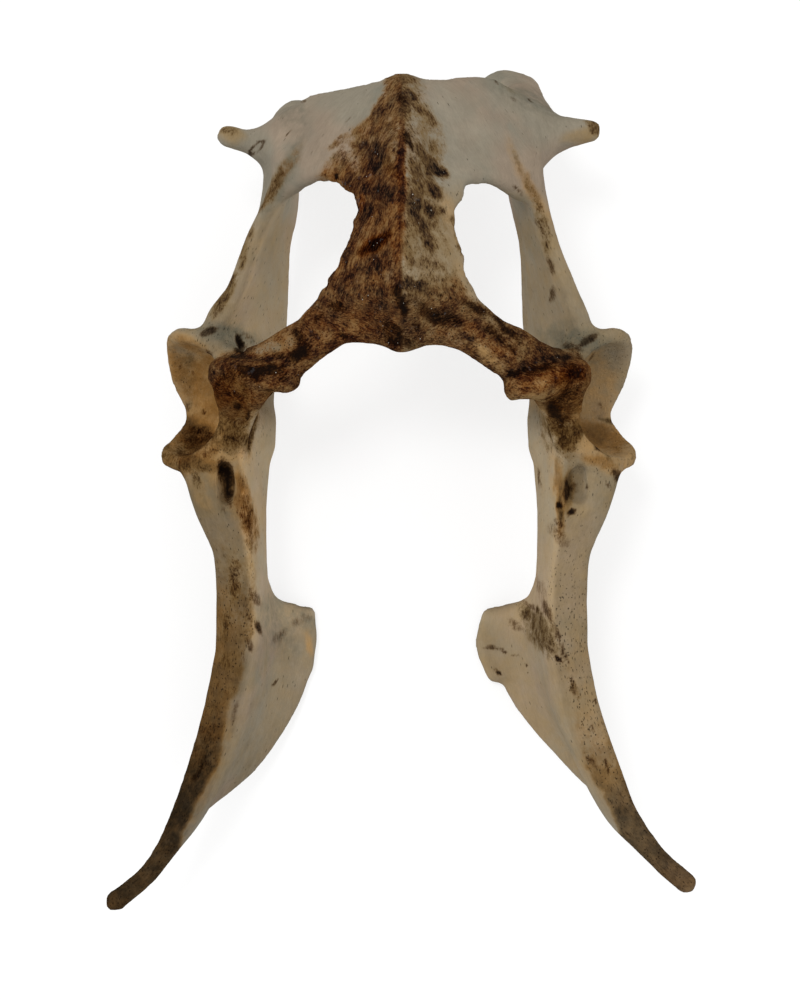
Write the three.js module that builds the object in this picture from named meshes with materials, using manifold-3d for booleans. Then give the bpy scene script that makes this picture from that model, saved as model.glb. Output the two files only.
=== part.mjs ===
// A white-tailed deer's pelvis without its sacrum, lying on its back: two hip bones, fused at the symphysis.
// Units are millimetres. +X is the side on the right of the picture, +Y points to the tail, +Z is the belly
// side, and z = 0 is the floor. Each side is laid out in half coordinates: x is how far from the midline.
import * as THREE from "three";
import Module from "manifold-3d";

const wasm = await Module();
wasm.setup();
const { Manifold, Mesh } = wasm;

// Driving sizes
const CELL = 1.3; // step of the sampling grid
const TRIANGLES = 15000; // triangles of the whole bone before it is parted
const KERF = 0.3; // gap between neighbouring bones
const TRIM = 0.96; // share of a bone's triangles that stays once the slivers along its cuts are gone
const FILLET = 5; // size of the blend between two webs
const REACH = 7; // how far round a web the field is worked out
const FAR = 100; // field value away from every web

// Acetabulum, the socket of the hip joint
const SOCKET = {
  centre: [[57.3, 27.2, 37.5], [55.7, 27.2, 37.5]], // middle of the mouth, left and right
  tilt: 27, // degrees that the mouth turns from straight sideways towards the belly
  radius: 17.6, // middle of the wall
  offset: 3, // centre of the ball outside the mouth
  wall: 2.1, // half the wall's thickness
  clear: 15.4, // radius of the ball that fits in
};
// Bumps and dips of the socket's lip: [degrees from the tail end to the back, height, width in radians]
const LIP = [
  [12, 3.2, 0.5],
  [102, -6.4, 0.62],
  [149, 4.6, 0.35],
  [248, -5.4, 0.5],
  [316, -9, 0.26],
];

// Field: signed distances on a regular grid
const LOW = [-90, -120, -6];
const HIGH = [90, 130, 90];
const SIZE = LOW.map((low, i) => Math.ceil((HIGH[i] - low) / CELL) + 1);
const STEP = [1, SIZE[0], SIZE[0] * SIZE[1]];
const field = new Float32Array(STEP[2] * SIZE[2]).fill(FAR);
const scratch = new Float32Array(field.length);

const clamp = (value, low, high) => Math.min(Math.max(value, low), high);
const mix = (a, b, t) => a + (b - a) * t;
const smoothMin = (a, b, k) => {
  const h = Math.max(k - Math.abs(a - b), 0) / k;
  return Math.min(a, b) - (h * h * k) / 4;
};
const smoothMax = (a, b, k) => -smoothMin(-a, -b, k);

// Calls visit(index, x, y, z) for each grid point in a box.
function eachPoint(low, high, visit) {
  const from = low.map((v, i) => clamp(Math.floor((v - LOW[i]) / CELL), 0, SIZE[i] - 1));
  const to = high.map((v, i) => clamp(Math.ceil((v - LOW[i]) / CELL), 0, SIZE[i] - 1));
  for (let k = from[2]; k <= to[2]; k++) {
    for (let j = from[1]; j <= to[1]; j++) {
      for (let i = from[0], at = i + j * STEP[1] + k * STEP[2]; i <= to[0]; i++, at++) {
        visit(at, LOW[0] + i * CELL, LOW[1] + j * CELL, LOW[2] + k * CELL);
      }
    }
  }
}

// Distance from a point to a triangle whose corners a, b, c are [x, y, z, radius], less the radius there
function triangleDistance(x, y, z, a, b, c) {
  const abx = b[0] - a[0], aby = b[1] - a[1], abz = b[2] - a[2];
  const acx = c[0] - a[0], acy = c[1] - a[1], acz = c[2] - a[2];
  const apx = x - a[0], apy = y - a[1], apz = z - a[2];
  const d1 = abx * apx + aby * apy + abz * apz, d2 = acx * apx + acy * apy + acz * apz;
  let v = 0, w = 0;
  if (d1 > 0 || d2 > 0) {
    const bpx = x - b[0], bpy = y - b[1], bpz = z - b[2];
    const d3 = abx * bpx + aby * bpy + abz * bpz, d4 = acx * bpx + acy * bpy + acz * bpz;
    const cpx = x - c[0], cpy = y - c[1], cpz = z - c[2];
    const d5 = abx * cpx + aby * cpy + abz * cpz, d6 = acx * cpx + acy * cpy + acz * cpz;
    const vc = d1 * d4 - d3 * d2, vb = d5 * d2 - d1 * d6, va = d3 * d6 - d5 * d4;
    if (d3 >= 0 && d4 <= d3) {
      v = 1;
    } else if (d6 >= 0 && d5 <= d6) {
      w = 1;
    } else if (vc <= 0 && d1 >= 0 && d3 <= 0) {
      v = d1 / (d1 - d3);
    } else if (vb <= 0 && d2 >= 0 && d6 <= 0) {
      w = d2 / (d2 - d6);
    } else if (va <= 0 && d4 - d3 >= 0 && d5 - d6 >= 0) {
      w = (d4 - d3) / (d4 - d3 + (d5 - d6));
      v = 1 - w;
    } else {
      v = vb / (va + vb + vc);
      w = vc / (va + vb + vc);
    }
  }
  const dx = apx - abx * v - acx * w, dy = apy - aby * v - acy * w, dz = apz - abz * v - acz * w;
  return Math.sqrt(dx * dx + dy * dy + dz * dz) - (a[3] + (b[3] - a[3]) * v + (c[3] - a[3]) * w);
}

// Adds a web, given as rows of [x, y, z, radius], to the field, with a fillet where it meets what is there.
function addWeb(rows, side, fillet = FILLET) {
  scratch.fill(FAR);
  const placed = rows.map((row) => row.map(([x, y, z, r]) => [x * side, y, z, r]));
  const add = (a, b, c) => {
    const reach = Math.max(a[3], b[3], c[3]) + REACH;
    const from = [0, 1, 2].map((i) => Math.min(a[i], b[i], c[i]) - reach);
    const to = [0, 1, 2].map((i) => Math.max(a[i], b[i], c[i]) + reach);
    eachPoint(from, to, (at, x, y, z) => {
      const distance = triangleDistance(x, y, z, a, b, c);
      if (distance < scratch[at]) scratch[at] = distance;
    });
  };
  for (let i = 0; i + 1 < placed.length; i++) {
    for (let j = 0; j + 1 < placed[i].length; j++) {
      add(placed[i][j], placed[i + 1][j], placed[i][j + 1]);
      add(placed[i + 1][j + 1], placed[i][j + 1], placed[i + 1][j]);
    }
  }
  eachPoint(LOW, HIGH, (at) => {
    if (scratch[at] < FAR) field[at] = smoothMin(field[at], scratch[at], fillet);
  });
}

// Cuts an ellipsoid out of the field, with a rounded lip.
function carve(centre, radii, side, lip = 1) {
  const c = [centre[0] * side, centre[1], centre[2]];
  const reach = Math.max(...radii) + 3;
  const least = Math.min(...radii);
  eachPoint(c.map((v) => v - reach), c.map((v) => v + reach), (at, x, y, z) => {
    const d = (Math.hypot((x - c[0]) / radii[0], (y - c[1]) / radii[1], (z - c[2]) / radii[2]) - 1) * least;
    field[at] = smoothMax(field[at], -d, lip);
  });
}

// A smooth curve through [x, y, z, radius] stations, as a function of 0 to 1
function through(stations) {
  const path = new THREE.CatmullRomCurve3(stations.map(([x, y, z]) => new THREE.Vector3(x, y, z)));
  path.curveType = "catmullrom";
  const radii = new THREE.CatmullRomCurve3(stations.map((s) => new THREE.Vector3(s[3], 0, 0)));
  radii.curveType = "catmullrom";
  return (t) => {
    const p = path.getPoint(t);
    return [p.x, p.y, p.z, radii.getPoint(t).x];
  };
}

// Rows of a web that spans curves with matching stations: along them in steps, and across them smoothly
function span(curves, along, across) {
  const lines = curves.map(through);
  return Array.from({ length: along + 1 }, (_, i) => {
    const rib = through(lines.map((line) => line(i / along)));
    return Array.from({ length: across + 1 }, (_, j) => rib(j / across));
  });
}

// Rows of a rod along one curve, as a web with next to no width
function rod(stations, steps) {
  const line = through(stations);
  return Array.from({ length: steps + 1 }, (_, i) => {
    const [x, y, z, r] = line(i / steps);
    return [[x, y, z, r], [x + 0.1, y + 0.1, z + 0.1, r]];
  });
}

// Ilium: shaft and wing, from the socket to the coxal tuber
function iliumWeb(right) {
  const lateral = [
    [52, 22, 36, 6],
    [54, 10, 38, 5.5],
    [52, -1, 38, 4.9],
    [47.6, -13, 35, 4.5],
    [46.8, -24, 32.6, 4.3],
    [47.1, -34, 31, 4.2],
    [47.8, -43, 30, 4],
    [51.2, -58, 28.5, 3.7],
    [right ? 57 : 56, -74, 28, 3.4],
    [right ? 62.2 : 60.8, -87, 28, 3.1],
    right ? [68.6, -96, 28.2, 2.6] : [66.4, -97.6, 28.2, 2.4],
    right ? [73.7, -101.5, 28.6, 2.5] : [71.6, -104.7, 28.6, 2.3],
    right ? [79.2, -106.3, 29, 2.5] : [79.8, -111.4, 29, 2.4],
  ];
  const inward = [7, 8.6, 7, 3.6, 3.6, 3.9, 4.4, 5, 4.6, 3, 1.2, 0.7, 0.5];
  const rise = [5, 4.5, 3.6, 2.4, 1.9, 1.4, 1.2, 1, 0.6, 0.2, 0, 0, 0];
  const thick = [0.55, 0.5, 0.55, 0.72, 0.8, 0.9];
  const ridge = lateral.map(([x, y, z, r], i) => [x - inward[i], y, z + rise[i], r * (thick[i] ?? 0.95)]);
  const middle = [
    [42, 22, 24, 5],
    [42.2, 10, 24, 4.6],
    [42.4, -1, 24, 4.2],
    [42, -13, 24, 4],
    [41.2, -23, 22, 3.4],
    [39.6, -32, 18.6, 2.6],
    [37.6, -42, 15, 2],
    [right ? 42 : 39.5, -57, 14.5, 1.9],
    [right ? 52 : 46.8, -74, 17.5, 1.9],
    [right ? 60.6 : 58, -86.6, 22, 2.1],
    right ? [67.8, -96.3, 25.4, 2.1] : [66, -98, 25.4, 2],
    right ? [72.8, -102, 26.8, 2.1] : [71, -105.1, 26.8, 2],
    right ? [78.6, -106.6, 28, 2.2] : [79, -111.6, 28, 2.2],
  ];
  const dorsal = [
    [39.6, 22, 9.5, 2.4],
    [40.4, 10, 11, 2.4],
    [41.4, -1, 12.6, 2.3],
    [42, -13, 13, 2.3],
    [40.6, -23, 10.6, 2.3],
    [36.8, -31.2, 6, 2.1],
    [28.8, -38.6, 3.2, 2.8],
    [right ? 33.8 : 31.6, -55.7, 2.6, 2.8],
    [right ? 49 : 42.8, -74.6, right ? 12 : 10, 2.4],
    [right ? 61.2 : 58.2, right ? -86 : -87.6, right ? 19 : 18, 2.2],
    right ? [68.4, -95.4, 23.4, 2] : [65.8, -97.8, 23.4, 1.9],
    right ? [72.6, -101.8, 25.4, 2] : [70.8, -105, 25.4, 1.9],
    right ? [78.2, -106.6, 27.2, 2.1] : [78.8, -111.4, 27.2, 2.1],
  ];
  return span([lateral, ridge, middle, dorsal], 72, 14);
}

// The sacral corner of the wing, which juts towards the midline
function sacralCorner(right) {
  const inner = right
    ? [[25.2, -33.6, 2.2, 1.8], [24.6, -42, 2, 2.9], [27.5, -50, 2, 2.9]]
    : [[26.4, -32.9, 1.9, 1.4], [28, -40, 2, 2.9], [29.2, -48, 2, 2.9]];
  return span([[[38, -30, 11, 2], [36, -38, 9, 2], [36, -49, 9, 2]], inner], 8, 6);
}

// Ischium: the plate from the socket to the tuber, with the ischial spine as its dorsal edge
function ischialBody(right) {
  const ventral = [
    [47, 16, 34, 5],
    [48.5, 32, 37, 5],
    right ? [48.2, 46, 40, 3.8] : [49.8, 46.6, 40, 4.3],
    [44.3, 57, 43, 3],
    [39.2, 71, 44.6, 2.6],
    [right ? 36 : 32.8, 84, 46, 2.6],
    [right ? 34.6 : 31, 96, 45, 3],
  ];
  const middle = [
    [41, 16, 24, 4.5],
    [41, 32, 25, 4.6],
    [41.5, 46, 27, 4.4],
    [40, 57, 29, 3.9],
    [37.5, 71, 32, 3.5],
    [34.8, 84, 33, 3.8],
    [33.6, 96, 32, 4.4],
  ];
  const dorsal = [
    [40.4, 16, 9, 2.4],
    [39, 32, 8.6, 2.4],
    [right ? 37.4 : 35.8, 46, 11, 2.4],
    [right ? 36.7 : 34.9, 57, 14, 2.4],
    [right ? 36 : 34.2, 71, 18.5, 2.6],
    [right ? 34.4 : 32.6, 82, 18.5, 3.2],
    [32.8, 94, 13, 3.8],
  ];
  return span([ventral, middle, dorsal], 34, 10);
}

// Ischial tuber: a thick crest from the dorsal tubercle to the table
function tuber(right) {
  const y = right ? 4 : 0;
  return span(
    [
      [[33, 98, 12, 4], [33, 98, 26, 4.6], [right ? 34.6 : 32.6, 98, 41, 4]],
      [[31.6, 107.6 + y * 2.4, 2.7, 4], [31.6, 106.4 + y * 2, 20, 4.6], [31, 101.8 + y * 1.2, 40, 3.5]],
    ],
    12,
    4,
  );
}

// The rough crest that runs from the tuber's dorsal tubercle to its lateral process
function tuberCrest(right) {
  return right
    ? rod(
        [
          [25.4, 117.4, 12.5, 3.8],
          [28.6, 118.6, 13, 4.3],
          [32.6, 118, 13.6, 3.6],
          [35.8, 117.2, 15, 3.4],
          [36.6, 111.6, 23, 3.9],
          [39.4, 104, 33, 4.1],
        ],
        20,
      )
    : rod([[26.6, 109, 13, 3.7], [29.4, 110, 14, 4.2], [31, 106, 24, 3.7], [34.6, 100, 34, 3.4]], 12);
}

// The hooked process on the side of the tuber
function lateralProcess(right) {
  return right
    ? rod([[36, 99, 38.5, 6.2], [42, 99.8, 39, 4.9], [46.5, 100.2, 39.5, 3.7], [51, 100.4, 40, 2.8]], 10)
    : rod([[32, 96.6, 38.5, 5], [38, 97.3, 39, 4], [43.4, 98.2, 39.5, 3.1], [47.2, 98.9, 40, 2.7]], 10);
}

// Ischial table: the floor of the pelvis behind the foramen, a roof that falls away from the keel
function ischialTable(right) {
  const x = right ? 2 : 0;
  const rim = right ? 31 : 30;
  const ends = right ? [109.6, 111.2, 111.4, 106.6] : [108.6, 107.8, 106.8, 102.6];
  return span(
    [
      [[0, 77, 73, 3.4], [0, 89, 69.5, 3.2], [0, 100, 65.5, 2.8], [0, 108.5, 61, 2.4]],
      [[8 + x, 79, 67.5, 2.2], [8, 90, 63.5, 2.2], [8, 100, 60.5, 2.1], [8.5, ends[0], 57, 2]],
      [[15.5 + x, 85, 61.5, 2.1], [16, 92, 59, 2.1], [16, 100, 56.5, 2.1], [16.5, ends[1], 53, 2]],
      [[22 + x, 86.6 - x / 2, 57, 2.2], [23, 92.5, 54.5, 2.3], [23.5, 100, 52, 2.3], [24, ends[2], 49, 2.3]],
      [[29 + x, 85 - x, 50.5, 2.5], [rim, 91, 49.5, 3], [30 + x, 98, 46, 3.2], [rim, ends[3], 43.5, 3.3]],
    ],
    20,
    24,
  );
}

// Strip between the foramen and the keel
function symphysealStrip(right) {
  const keel = [
    [0, 43.5, 70.5, 3.4],
    [0, 48, 74.5, 3.5],
    [0, 55, 77, 3.6],
    [0, 62, 77.4, 3.6],
    [0, 70, 75.8, 3.5],
    [0, 80, 72, 3.4],
  ];
  const edge = right
    ? [
        [21.2, 45.8, 62.5, 2.6],
        [17.6, 51, 65.2, 2.4],
        [14.6, 57, 67.3, 2.1],
        [13, 63.5, 68.2, 2],
        [11.2, 72, 67.6, 2],
        [12.6, 80.5, 65, 2.1],
      ]
    : [
        [22, 47.5, 62.5, 2.6],
        [19, 52, 65.2, 2.4],
        [15.6, 58, 67.3, 2.1],
        [13.3, 64, 68.2, 2],
        [10.3, 71, 67.6, 2],
        [9.4, 79.5, 66, 2.1],
      ];
  return span([keel, edge], 26, 9);
}

// Cranial ramus of the pubis, from the symphysis to the socket
function pubicRamus(right) {
  const x = right ? 0.8 : 0;
  return span(
    [
      [
        [0, 43.2, 69.5, 3.4],
        [7, 44.4, 68, 3.1],
        [14, 43.6 - x * 2 + 0.8, 65.5, 3],
        [21, 39.9 - x * 2 + 0.8, 62.5, 3],
        [28, 35.8 - x, 59, 3.2],
        [38, 31.5, 53, 4.2],
        [46, 27, 45, 5],
      ],
      [
        [0, 49, 72.5, 3.8],
        [8, 50, 69.5, 3.4],
        [15, 49.6, 66.3, 3],
        [22, 46.6 - x, 62.4, 2.8],
        [29 + x, 43.2 - x / 2, 58, 2.8],
        [38, 38.2, 52, 3.1],
        [45.5, 36, 43, 5],
      ],
    ],
    26,
    5,
  );
}

// Iliopubic eminence: the rough ridge across the root of the pubis, with its knob
function eminence(right) {
  return right
    ? rod([[46.6, 34, 51.6, 3], [42.4, 32.6, 55.6, 3.6], [36, 30.2, 59.2, 3.6], [29.8, 29.4, 60, 3]], 12)
    : rod([[47.6, 34.8, 51.6, 3], [42.4, 33.6, 55.6, 3.6], [36, 32.4, 59.2, 3.4], [30, 31.4, 60, 2.9]], 12);
}

// The flat between the eminence, the socket's edge and the ridge of the ilium
function pubicPlateau(right) {
  const x = right ? 1 : 0;
  return span(
    [
      [[48.2, 32, 48.6, 2.4], [42.5, 31, 53, 3], [38 - x, 29, 55, 2.6]],
      [[47.6 - x, 24, 47.6, 2.2], [44.4 - x, 23.4, 48.4, 2.2], [41.6 - x, 22.6, 48.6, 2.2]],
      [[46.8 - x, 14, 44.8, 2.4], [45.9 - x, 14, 45.2, 2.3], [45 - x, 14, 45, 2.2]],
    ],
    14,
    8,
  );
}

// The wall of the socket: a bowl whose lip rises and falls
function socketBowl(right) {
  const { tilt, radius, offset, wall } = SOCKET;
  const centre = SOCKET.centre[right ? 1 : 0];
  const turn = THREE.MathUtils.degToRad(tilt);
  const out = [Math.cos(turn), 0, Math.sin(turn)];
  const back = [Math.sin(turn), 0, -Math.cos(turn)];
  const height = (angle) =>
    LIP.reduce((sum, [at, bump, width]) => {
      const away = angle - THREE.MathUtils.degToRad(at);
      const turned = Math.atan2(Math.sin(away), Math.cos(away)) / width;
      return sum + bump * Math.exp(-turned * turned);
    }, 0);
  const turns = 40;
  const rings = 7;
  return Array.from({ length: turns + 1 }, (_, i) => {
    const angle = (i / turns) * 2 * Math.PI;
    const rim = Math.acos(clamp((height(angle) - offset) / radius, -1, 1));
    return Array.from({ length: rings + 1 }, (_, j) => {
      const down = mix(Math.PI - 0.02, rim, j / rings);
      const wide = radius * Math.sin(down);
      const deep = offset + radius * Math.cos(down);
      const aside = wide * Math.sin(angle);
      return [
        centre[0] + out[0] * deep + back[0] * aside,
        centre[1] + wide * Math.cos(angle),
        centre[2] + out[2] * deep + back[2] * aside,
        wall,
      ];
    });
  });
}

// Builds one side in the field.
function addSide(side) {
  const right = side > 0;
  addWeb(iliumWeb(right), side);
  addWeb(sacralCorner(right), side, 2);
  addWeb(ischialBody(right), side, 4);
  addWeb(tuber(right), side, 5);
  addWeb(tuberCrest(right), side, 5);
  addWeb(lateralProcess(right), side, 6);
  addWeb(ischialTable(right), side, 7);
  addWeb(symphysealStrip(right), side, 3);
  addWeb(pubicRamus(right), side, 4);
  addWeb(socketBowl(right), side, 4);
  addWeb(pubicPlateau(right), side, 3);
  addWeb(eminence(right), side, 3);
}

// Hollows of one side: the ball's seat, the pit of the rectus muscle and the obturator groove
function carveSide(side) {
  const { tilt, offset, clear } = SOCKET;
  const centre = SOCKET.centre[side > 0 ? 1 : 0];
  const turn = THREE.MathUtils.degToRad(tilt);
  const ball = [centre[0] + offset * Math.cos(turn), centre[1], centre[2] + offset * Math.sin(turn)];
  carve(ball, [clear, clear, clear], side, 1.2);
  carve([48, 4, 45.5], [2.3, 5.8, 5], side, 0.8);
  carve([44, 43, 50.5], [1.4, 2.8, 6], side, 0.8);
}

// Fills a corner of each grid face whose corners lie in and out by turns, which would pinch the surface.
function closePinches() {
  let found = 0;
  for (let at = 0; at < field.length - STEP[0] - STEP[1] - STEP[2]; at++) {
    for (let axis = 0; axis < 3; axis++) {
      const u = STEP[(axis + 1) % 3];
      const v = STEP[(axis + 2) % 3];
      const [a, b, c, d] = [at, at + u, at + u + v, at + v].map((index) => field[index] < 0);
      if (a !== c || b !== d || a === b) continue;
      const [one, other] = a ? [at + u, at + v] : [at, at + u + v];
      field[field[one] < field[other] ? one : other] = -0.1;
      found++;
    }
  }
  if (found > 0) closePinches();
}

// Surface of the field, as one vertex in each cell that the surface crosses
function surfaceOf() {
  const points = [];
  const faces = [];
  const cellVertex = new Int32Array(field.length).fill(-1);
  const corners = [0, 1, 2, 3, 4, 5, 6, 7].map((c) => [c & 1, (c >> 1) & 1, c >> 2]);
  const edges = corners.flatMap((_, a) => [1, 2, 4].filter((bit) => !(a & bit)).map((bit) => [a, a | bit]));
  const offsets = corners.map(([i, j, k]) => i + j * STEP[1] + k * STEP[2]);
  const cell = [0, 0, 0];
  const addVertex = (at) => {
    const sum = [0, 0, 0];
    let crossings = 0;
    for (const [a, b] of edges) {
      const fa = field[at + offsets[a]];
      const fb = field[at + offsets[b]];
      if (fa < 0 === fb < 0) continue;
      sum.forEach((_, i) => (sum[i] += mix(corners[a][i], corners[b][i], fa / (fa - fb))));
      crossings++;
    }
    cellVertex[at] = points.length;
    points.push(sum.map((s, i) => LOW[i] + (cell[i] + s / crossings) * CELL));
  };
  for (cell[2] = 0; cell[2] < SIZE[2] - 1; cell[2]++) {
    for (cell[1] = 0; cell[1] < SIZE[1] - 1; cell[1]++) {
      for (cell[0] = 0; cell[0] < SIZE[0] - 1; cell[0]++) {
        const at = cell[0] + cell[1] * STEP[1] + cell[2] * STEP[2];
        const inside = offsets.filter((offset) => field[at + offset] < 0).length;
        if (inside > 0 && inside < 8) addVertex(at);
      }
    }
  }
  const first = STEP[0] + STEP[1] + STEP[2];
  for (let at = first; at < field.length - first; at++) {
    for (let axis = 0; axis < 3; axis++) {
      const here = field[at] < 0;
      if (here === field[at + STEP[axis]] < 0) continue;
      const u = STEP[(axis + 1) % 3];
      const v = STEP[(axis + 2) % 3];
      const quad = [at, at - u, at - u - v, at - v].map((index) => cellVertex[index]);
      if (!here) quad.reverse();
      faces.push([quad[0], quad[1], quad[2]], [quad[0], quad[2], quad[3]]);
    }
  }
  return { points, faces };
}

// Evens out the grid's steps: each pass moves the points to their neighbours' mean, then back a bit more.
function relax({ points, faces }, passes) {
  const near = points.map(() => new Set());
  for (const face of faces) {
    face.forEach((a, i) => near[a].add(face[(i + 1) % 3]).add(face[(i + 2) % 3]));
  }
  for (let pass = 0; pass < passes * 2; pass++) {
    const weight = pass % 2 ? -0.53 : 0.5;
    const mean = (set, i) => [...set].reduce((sum, n) => sum + points[n][i], 0) / set.size;
    const means = near.map((set) => [0, 1, 2].map((i) => mean(set, i)));
    points.forEach((p, n) => p.forEach((v, i) => (p[i] = v + weight * (means[n][i] - v))));
  }
}

// Thins the triangles, cheapest edge first: the cost is how far its point would stray from the old planes.
function thin({ points, faces }, target) {
  const around = points.map(() => new Set());
  faces.forEach((face, f) => face.forEach((v) => around[v].add(f)));
  const cross = (p, q, r) => {
    const a = [q[0] - p[0], q[1] - p[1], q[2] - p[2]];
    const b = [r[0] - p[0], r[1] - p[1], r[2] - p[2]];
    return [a[1] * b[2] - a[2] * b[1], a[2] * b[0] - a[0] * b[2], a[0] * b[1] - a[1] * b[0]];
  };
  const errors = points.map(() => new Float64Array(10));
  for (const [a, b, c] of faces) {
    const normal = cross(points[a], points[b], points[c]);
    const size = Math.hypot(...normal) || 1;
    const [x, y, z] = normal.map((v) => v / size);
    const d = -(x * points[a][0] + y * points[a][1] + z * points[a][2]);
    const terms = [x * x, x * y, x * z, x * d, y * y, y * z, y * d, z * z, z * d, d * d];
    for (const v of [a, b, c]) terms.forEach((term, i) => (errors[v][i] += term * size));
  }
  const cost = (q, [x, y, z]) => {
    const first = x * (q[0] * x + 2 * (q[1] * y + q[2] * z + q[3]));
    const second = y * (q[4] * y + 2 * (q[5] * z + q[6]));
    return Math.max(first + second + z * (q[7] * z + 2 * q[8]) + q[9], 0);
  };
  const plan = (a, b) => {
    const q = errors[a].map((v, i) => v + errors[b][i]);
    const middle = points[a].map((v, i) => (v + points[b][i]) / 2);
    const tie = 0.002 * (q[0] + q[4] + q[7]);
    const [xx, xy, xz, yy, yz, zz] = [q[0] + tie, q[1], q[2], q[4] + tie, q[5], q[7] + tie];
    const [bx, by, bz] = [tie * middle[0] - q[3], tie * middle[1] - q[6], tie * middle[2] - q[8]];
    const cx = yy * zz - yz * yz, cy = xz * yz - xy * zz, cz = xy * yz - xz * yy;
    const det = xx * cx + xy * cy + xz * cz;
    const place = [
      (bx * cx + by * cy + bz * cz) / det,
      (bx * cy + by * (xx * zz - xz * xz) + bz * (xy * xz - xx * yz)) / det,
      (bx * cz + by * (xy * xz - xx * yz) + bz * (xx * yy - xy * xy)) / det,
    ];
    const stray = Math.hypot(...place.map((v, i) => v - middle[i]));
    const length = Math.hypot(...points[a].map((v, i) => v - points[b][i]));
    const spot = stray < length * 2 ? place : middle;
    return { a, b, place: spot, cost: cost(q, spot) + 0.0005 * length ** 3, stamps: [stamp[a], stamp[b]] };
  };
  const stamp = new Int32Array(points.length);
  const heap = [];
  const push = (item) => {
    let i = heap.push(item) - 1;
    while (i > 0 && heap[(i - 1) >> 1].cost > item.cost) {
      heap[i] = heap[(i - 1) >> 1];
      i = (i - 1) >> 1;
    }
    heap[i] = item;
  };
  const pop = () => {
    const top = heap[0];
    const last = heap.pop();
    let i = 0;
    for (let child = 1; heap.length && child < heap.length; child = i * 2 + 1) {
      if (child + 1 < heap.length && heap[child + 1].cost < heap[child].cost) child++;
      if (heap[child].cost >= last.cost) break;
      heap[i] = heap[child];
      i = child;
    }
    if (heap.length) heap[i] = last;
    return top;
  };
  const neighbours = (v) => new Set([...around[v]].flatMap((f) => faces[f]).filter((n) => n !== v));
  const allowed = ({ a, b, place }) => {
    const shared = neighbours(b);
    if ([...neighbours(a)].filter((n) => shared.has(n)).length !== 2) return false;
    for (const [v, other] of [[a, b], [b, a]]) {
      for (const f of around[v]) {
        if (faces[f].includes(other)) continue;
        const now = cross(...faces[f].map((n) => points[n]));
        const next = cross(...faces[f].map((n) => (n === v ? place : points[n])));
        const before = Math.hypot(...now);
        const after = Math.hypot(...next);
        const turned = now[0] * next[0] + now[1] * next[1] + now[2] * next[2] < 0.35 * before * after;
        if (after < Math.min(0.02, before) || (turned && before > 0.001)) return false;
      }
    }
    return true;
  };
  for (const face of faces) {
    face.forEach((a, i) => a < face[(i + 1) % 3] && push(plan(a, face[(i + 1) % 3])));
  }
  let left = faces.length;
  while (left > target && heap.length > 1) {
    const item = pop();
    const { a, b, place, stamps } = item;
    if (stamp[a] !== stamps[0] || stamp[b] !== stamps[1] || !allowed(item)) continue;
    for (const f of [...around[b]]) {
      if (faces[f].includes(a)) {
        faces[f].forEach((v) => around[v].delete(f));
        faces[f] = null;
        left--;
      } else {
        faces[f] = faces[f].map((v) => (v === b ? a : v));
        around[a].add(f);
      }
    }
    points[a] = place;
    errors[b].forEach((v, i) => (errors[a][i] += v));
    stamp[b] = -1;
    stamp[a]++;
    for (const n of neighbours(a)) push(plan(Math.min(a, n), Math.max(a, n)));
  }
  const kept = faces.filter(Boolean);
  const used = [...new Set(kept.flat())];
  const index = new Map(used.map((v, i) => [v, i]));
  return { points: used.map((v) => points[v]), faces: kept.map((face) => face.map((v) => index.get(v))) };
}

const solid = ({ points, faces }) => {
  const vertProperties = Float32Array.from(points.flat());
  return new Manifold(new Mesh({ numProp: 3, vertProperties, triVerts: Uint32Array.from(faces.flat()) }));
};

// The points and triangles of a solid, with one point where several lie together
function shell(body) {
  const { vertProperties, triVerts, numProp, mergeFromVert, mergeToVert } = body.getMesh();
  const index = new Map([...(mergeFromVert ?? [])].map((from, i) => [from, mergeToVert[i]]));
  const points = Array.from({ length: vertProperties.length / numProp }, (_, v) =>
    Array.from(vertProperties.subarray(v * numProp, v * numProp + 3)),
  );
  const faces = Array.from({ length: triVerts.length / 3 }, (_, f) =>
    Array.from(triVerts.subarray(f * 3, f * 3 + 3), (v) => index.get(v) ?? v),
  );
  return { points, faces };
}

// A box as a solid: size, then where its middle goes and how it is turned
function block(size, place) {
  const geometry = new THREE.BoxGeometry(...size).applyMatrix4(place);
  const p = geometry.attributes.position;
  const corners = new Map();
  const at = Array.from({ length: p.count }, (_, i) => {
    const key = [p.getX(i), p.getY(i), p.getZ(i)].map((v) => v.toFixed(5)).join();
    const point = [p.getX(i), p.getY(i), p.getZ(i)];
    if (!corners.has(key)) corners.set(key, { index: corners.size, point });
    return corners.get(key).index;
  });
  const faces = Array.from({ length: geometry.index.count / 3 }, (_, f) =>
    Array.from(geometry.index.array.subarray(f * 3, f * 3 + 3), (v) => at[v]),
  );
  return solid({ points: [...corners.values()].map((corner) => corner.point), faces });
}

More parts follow.
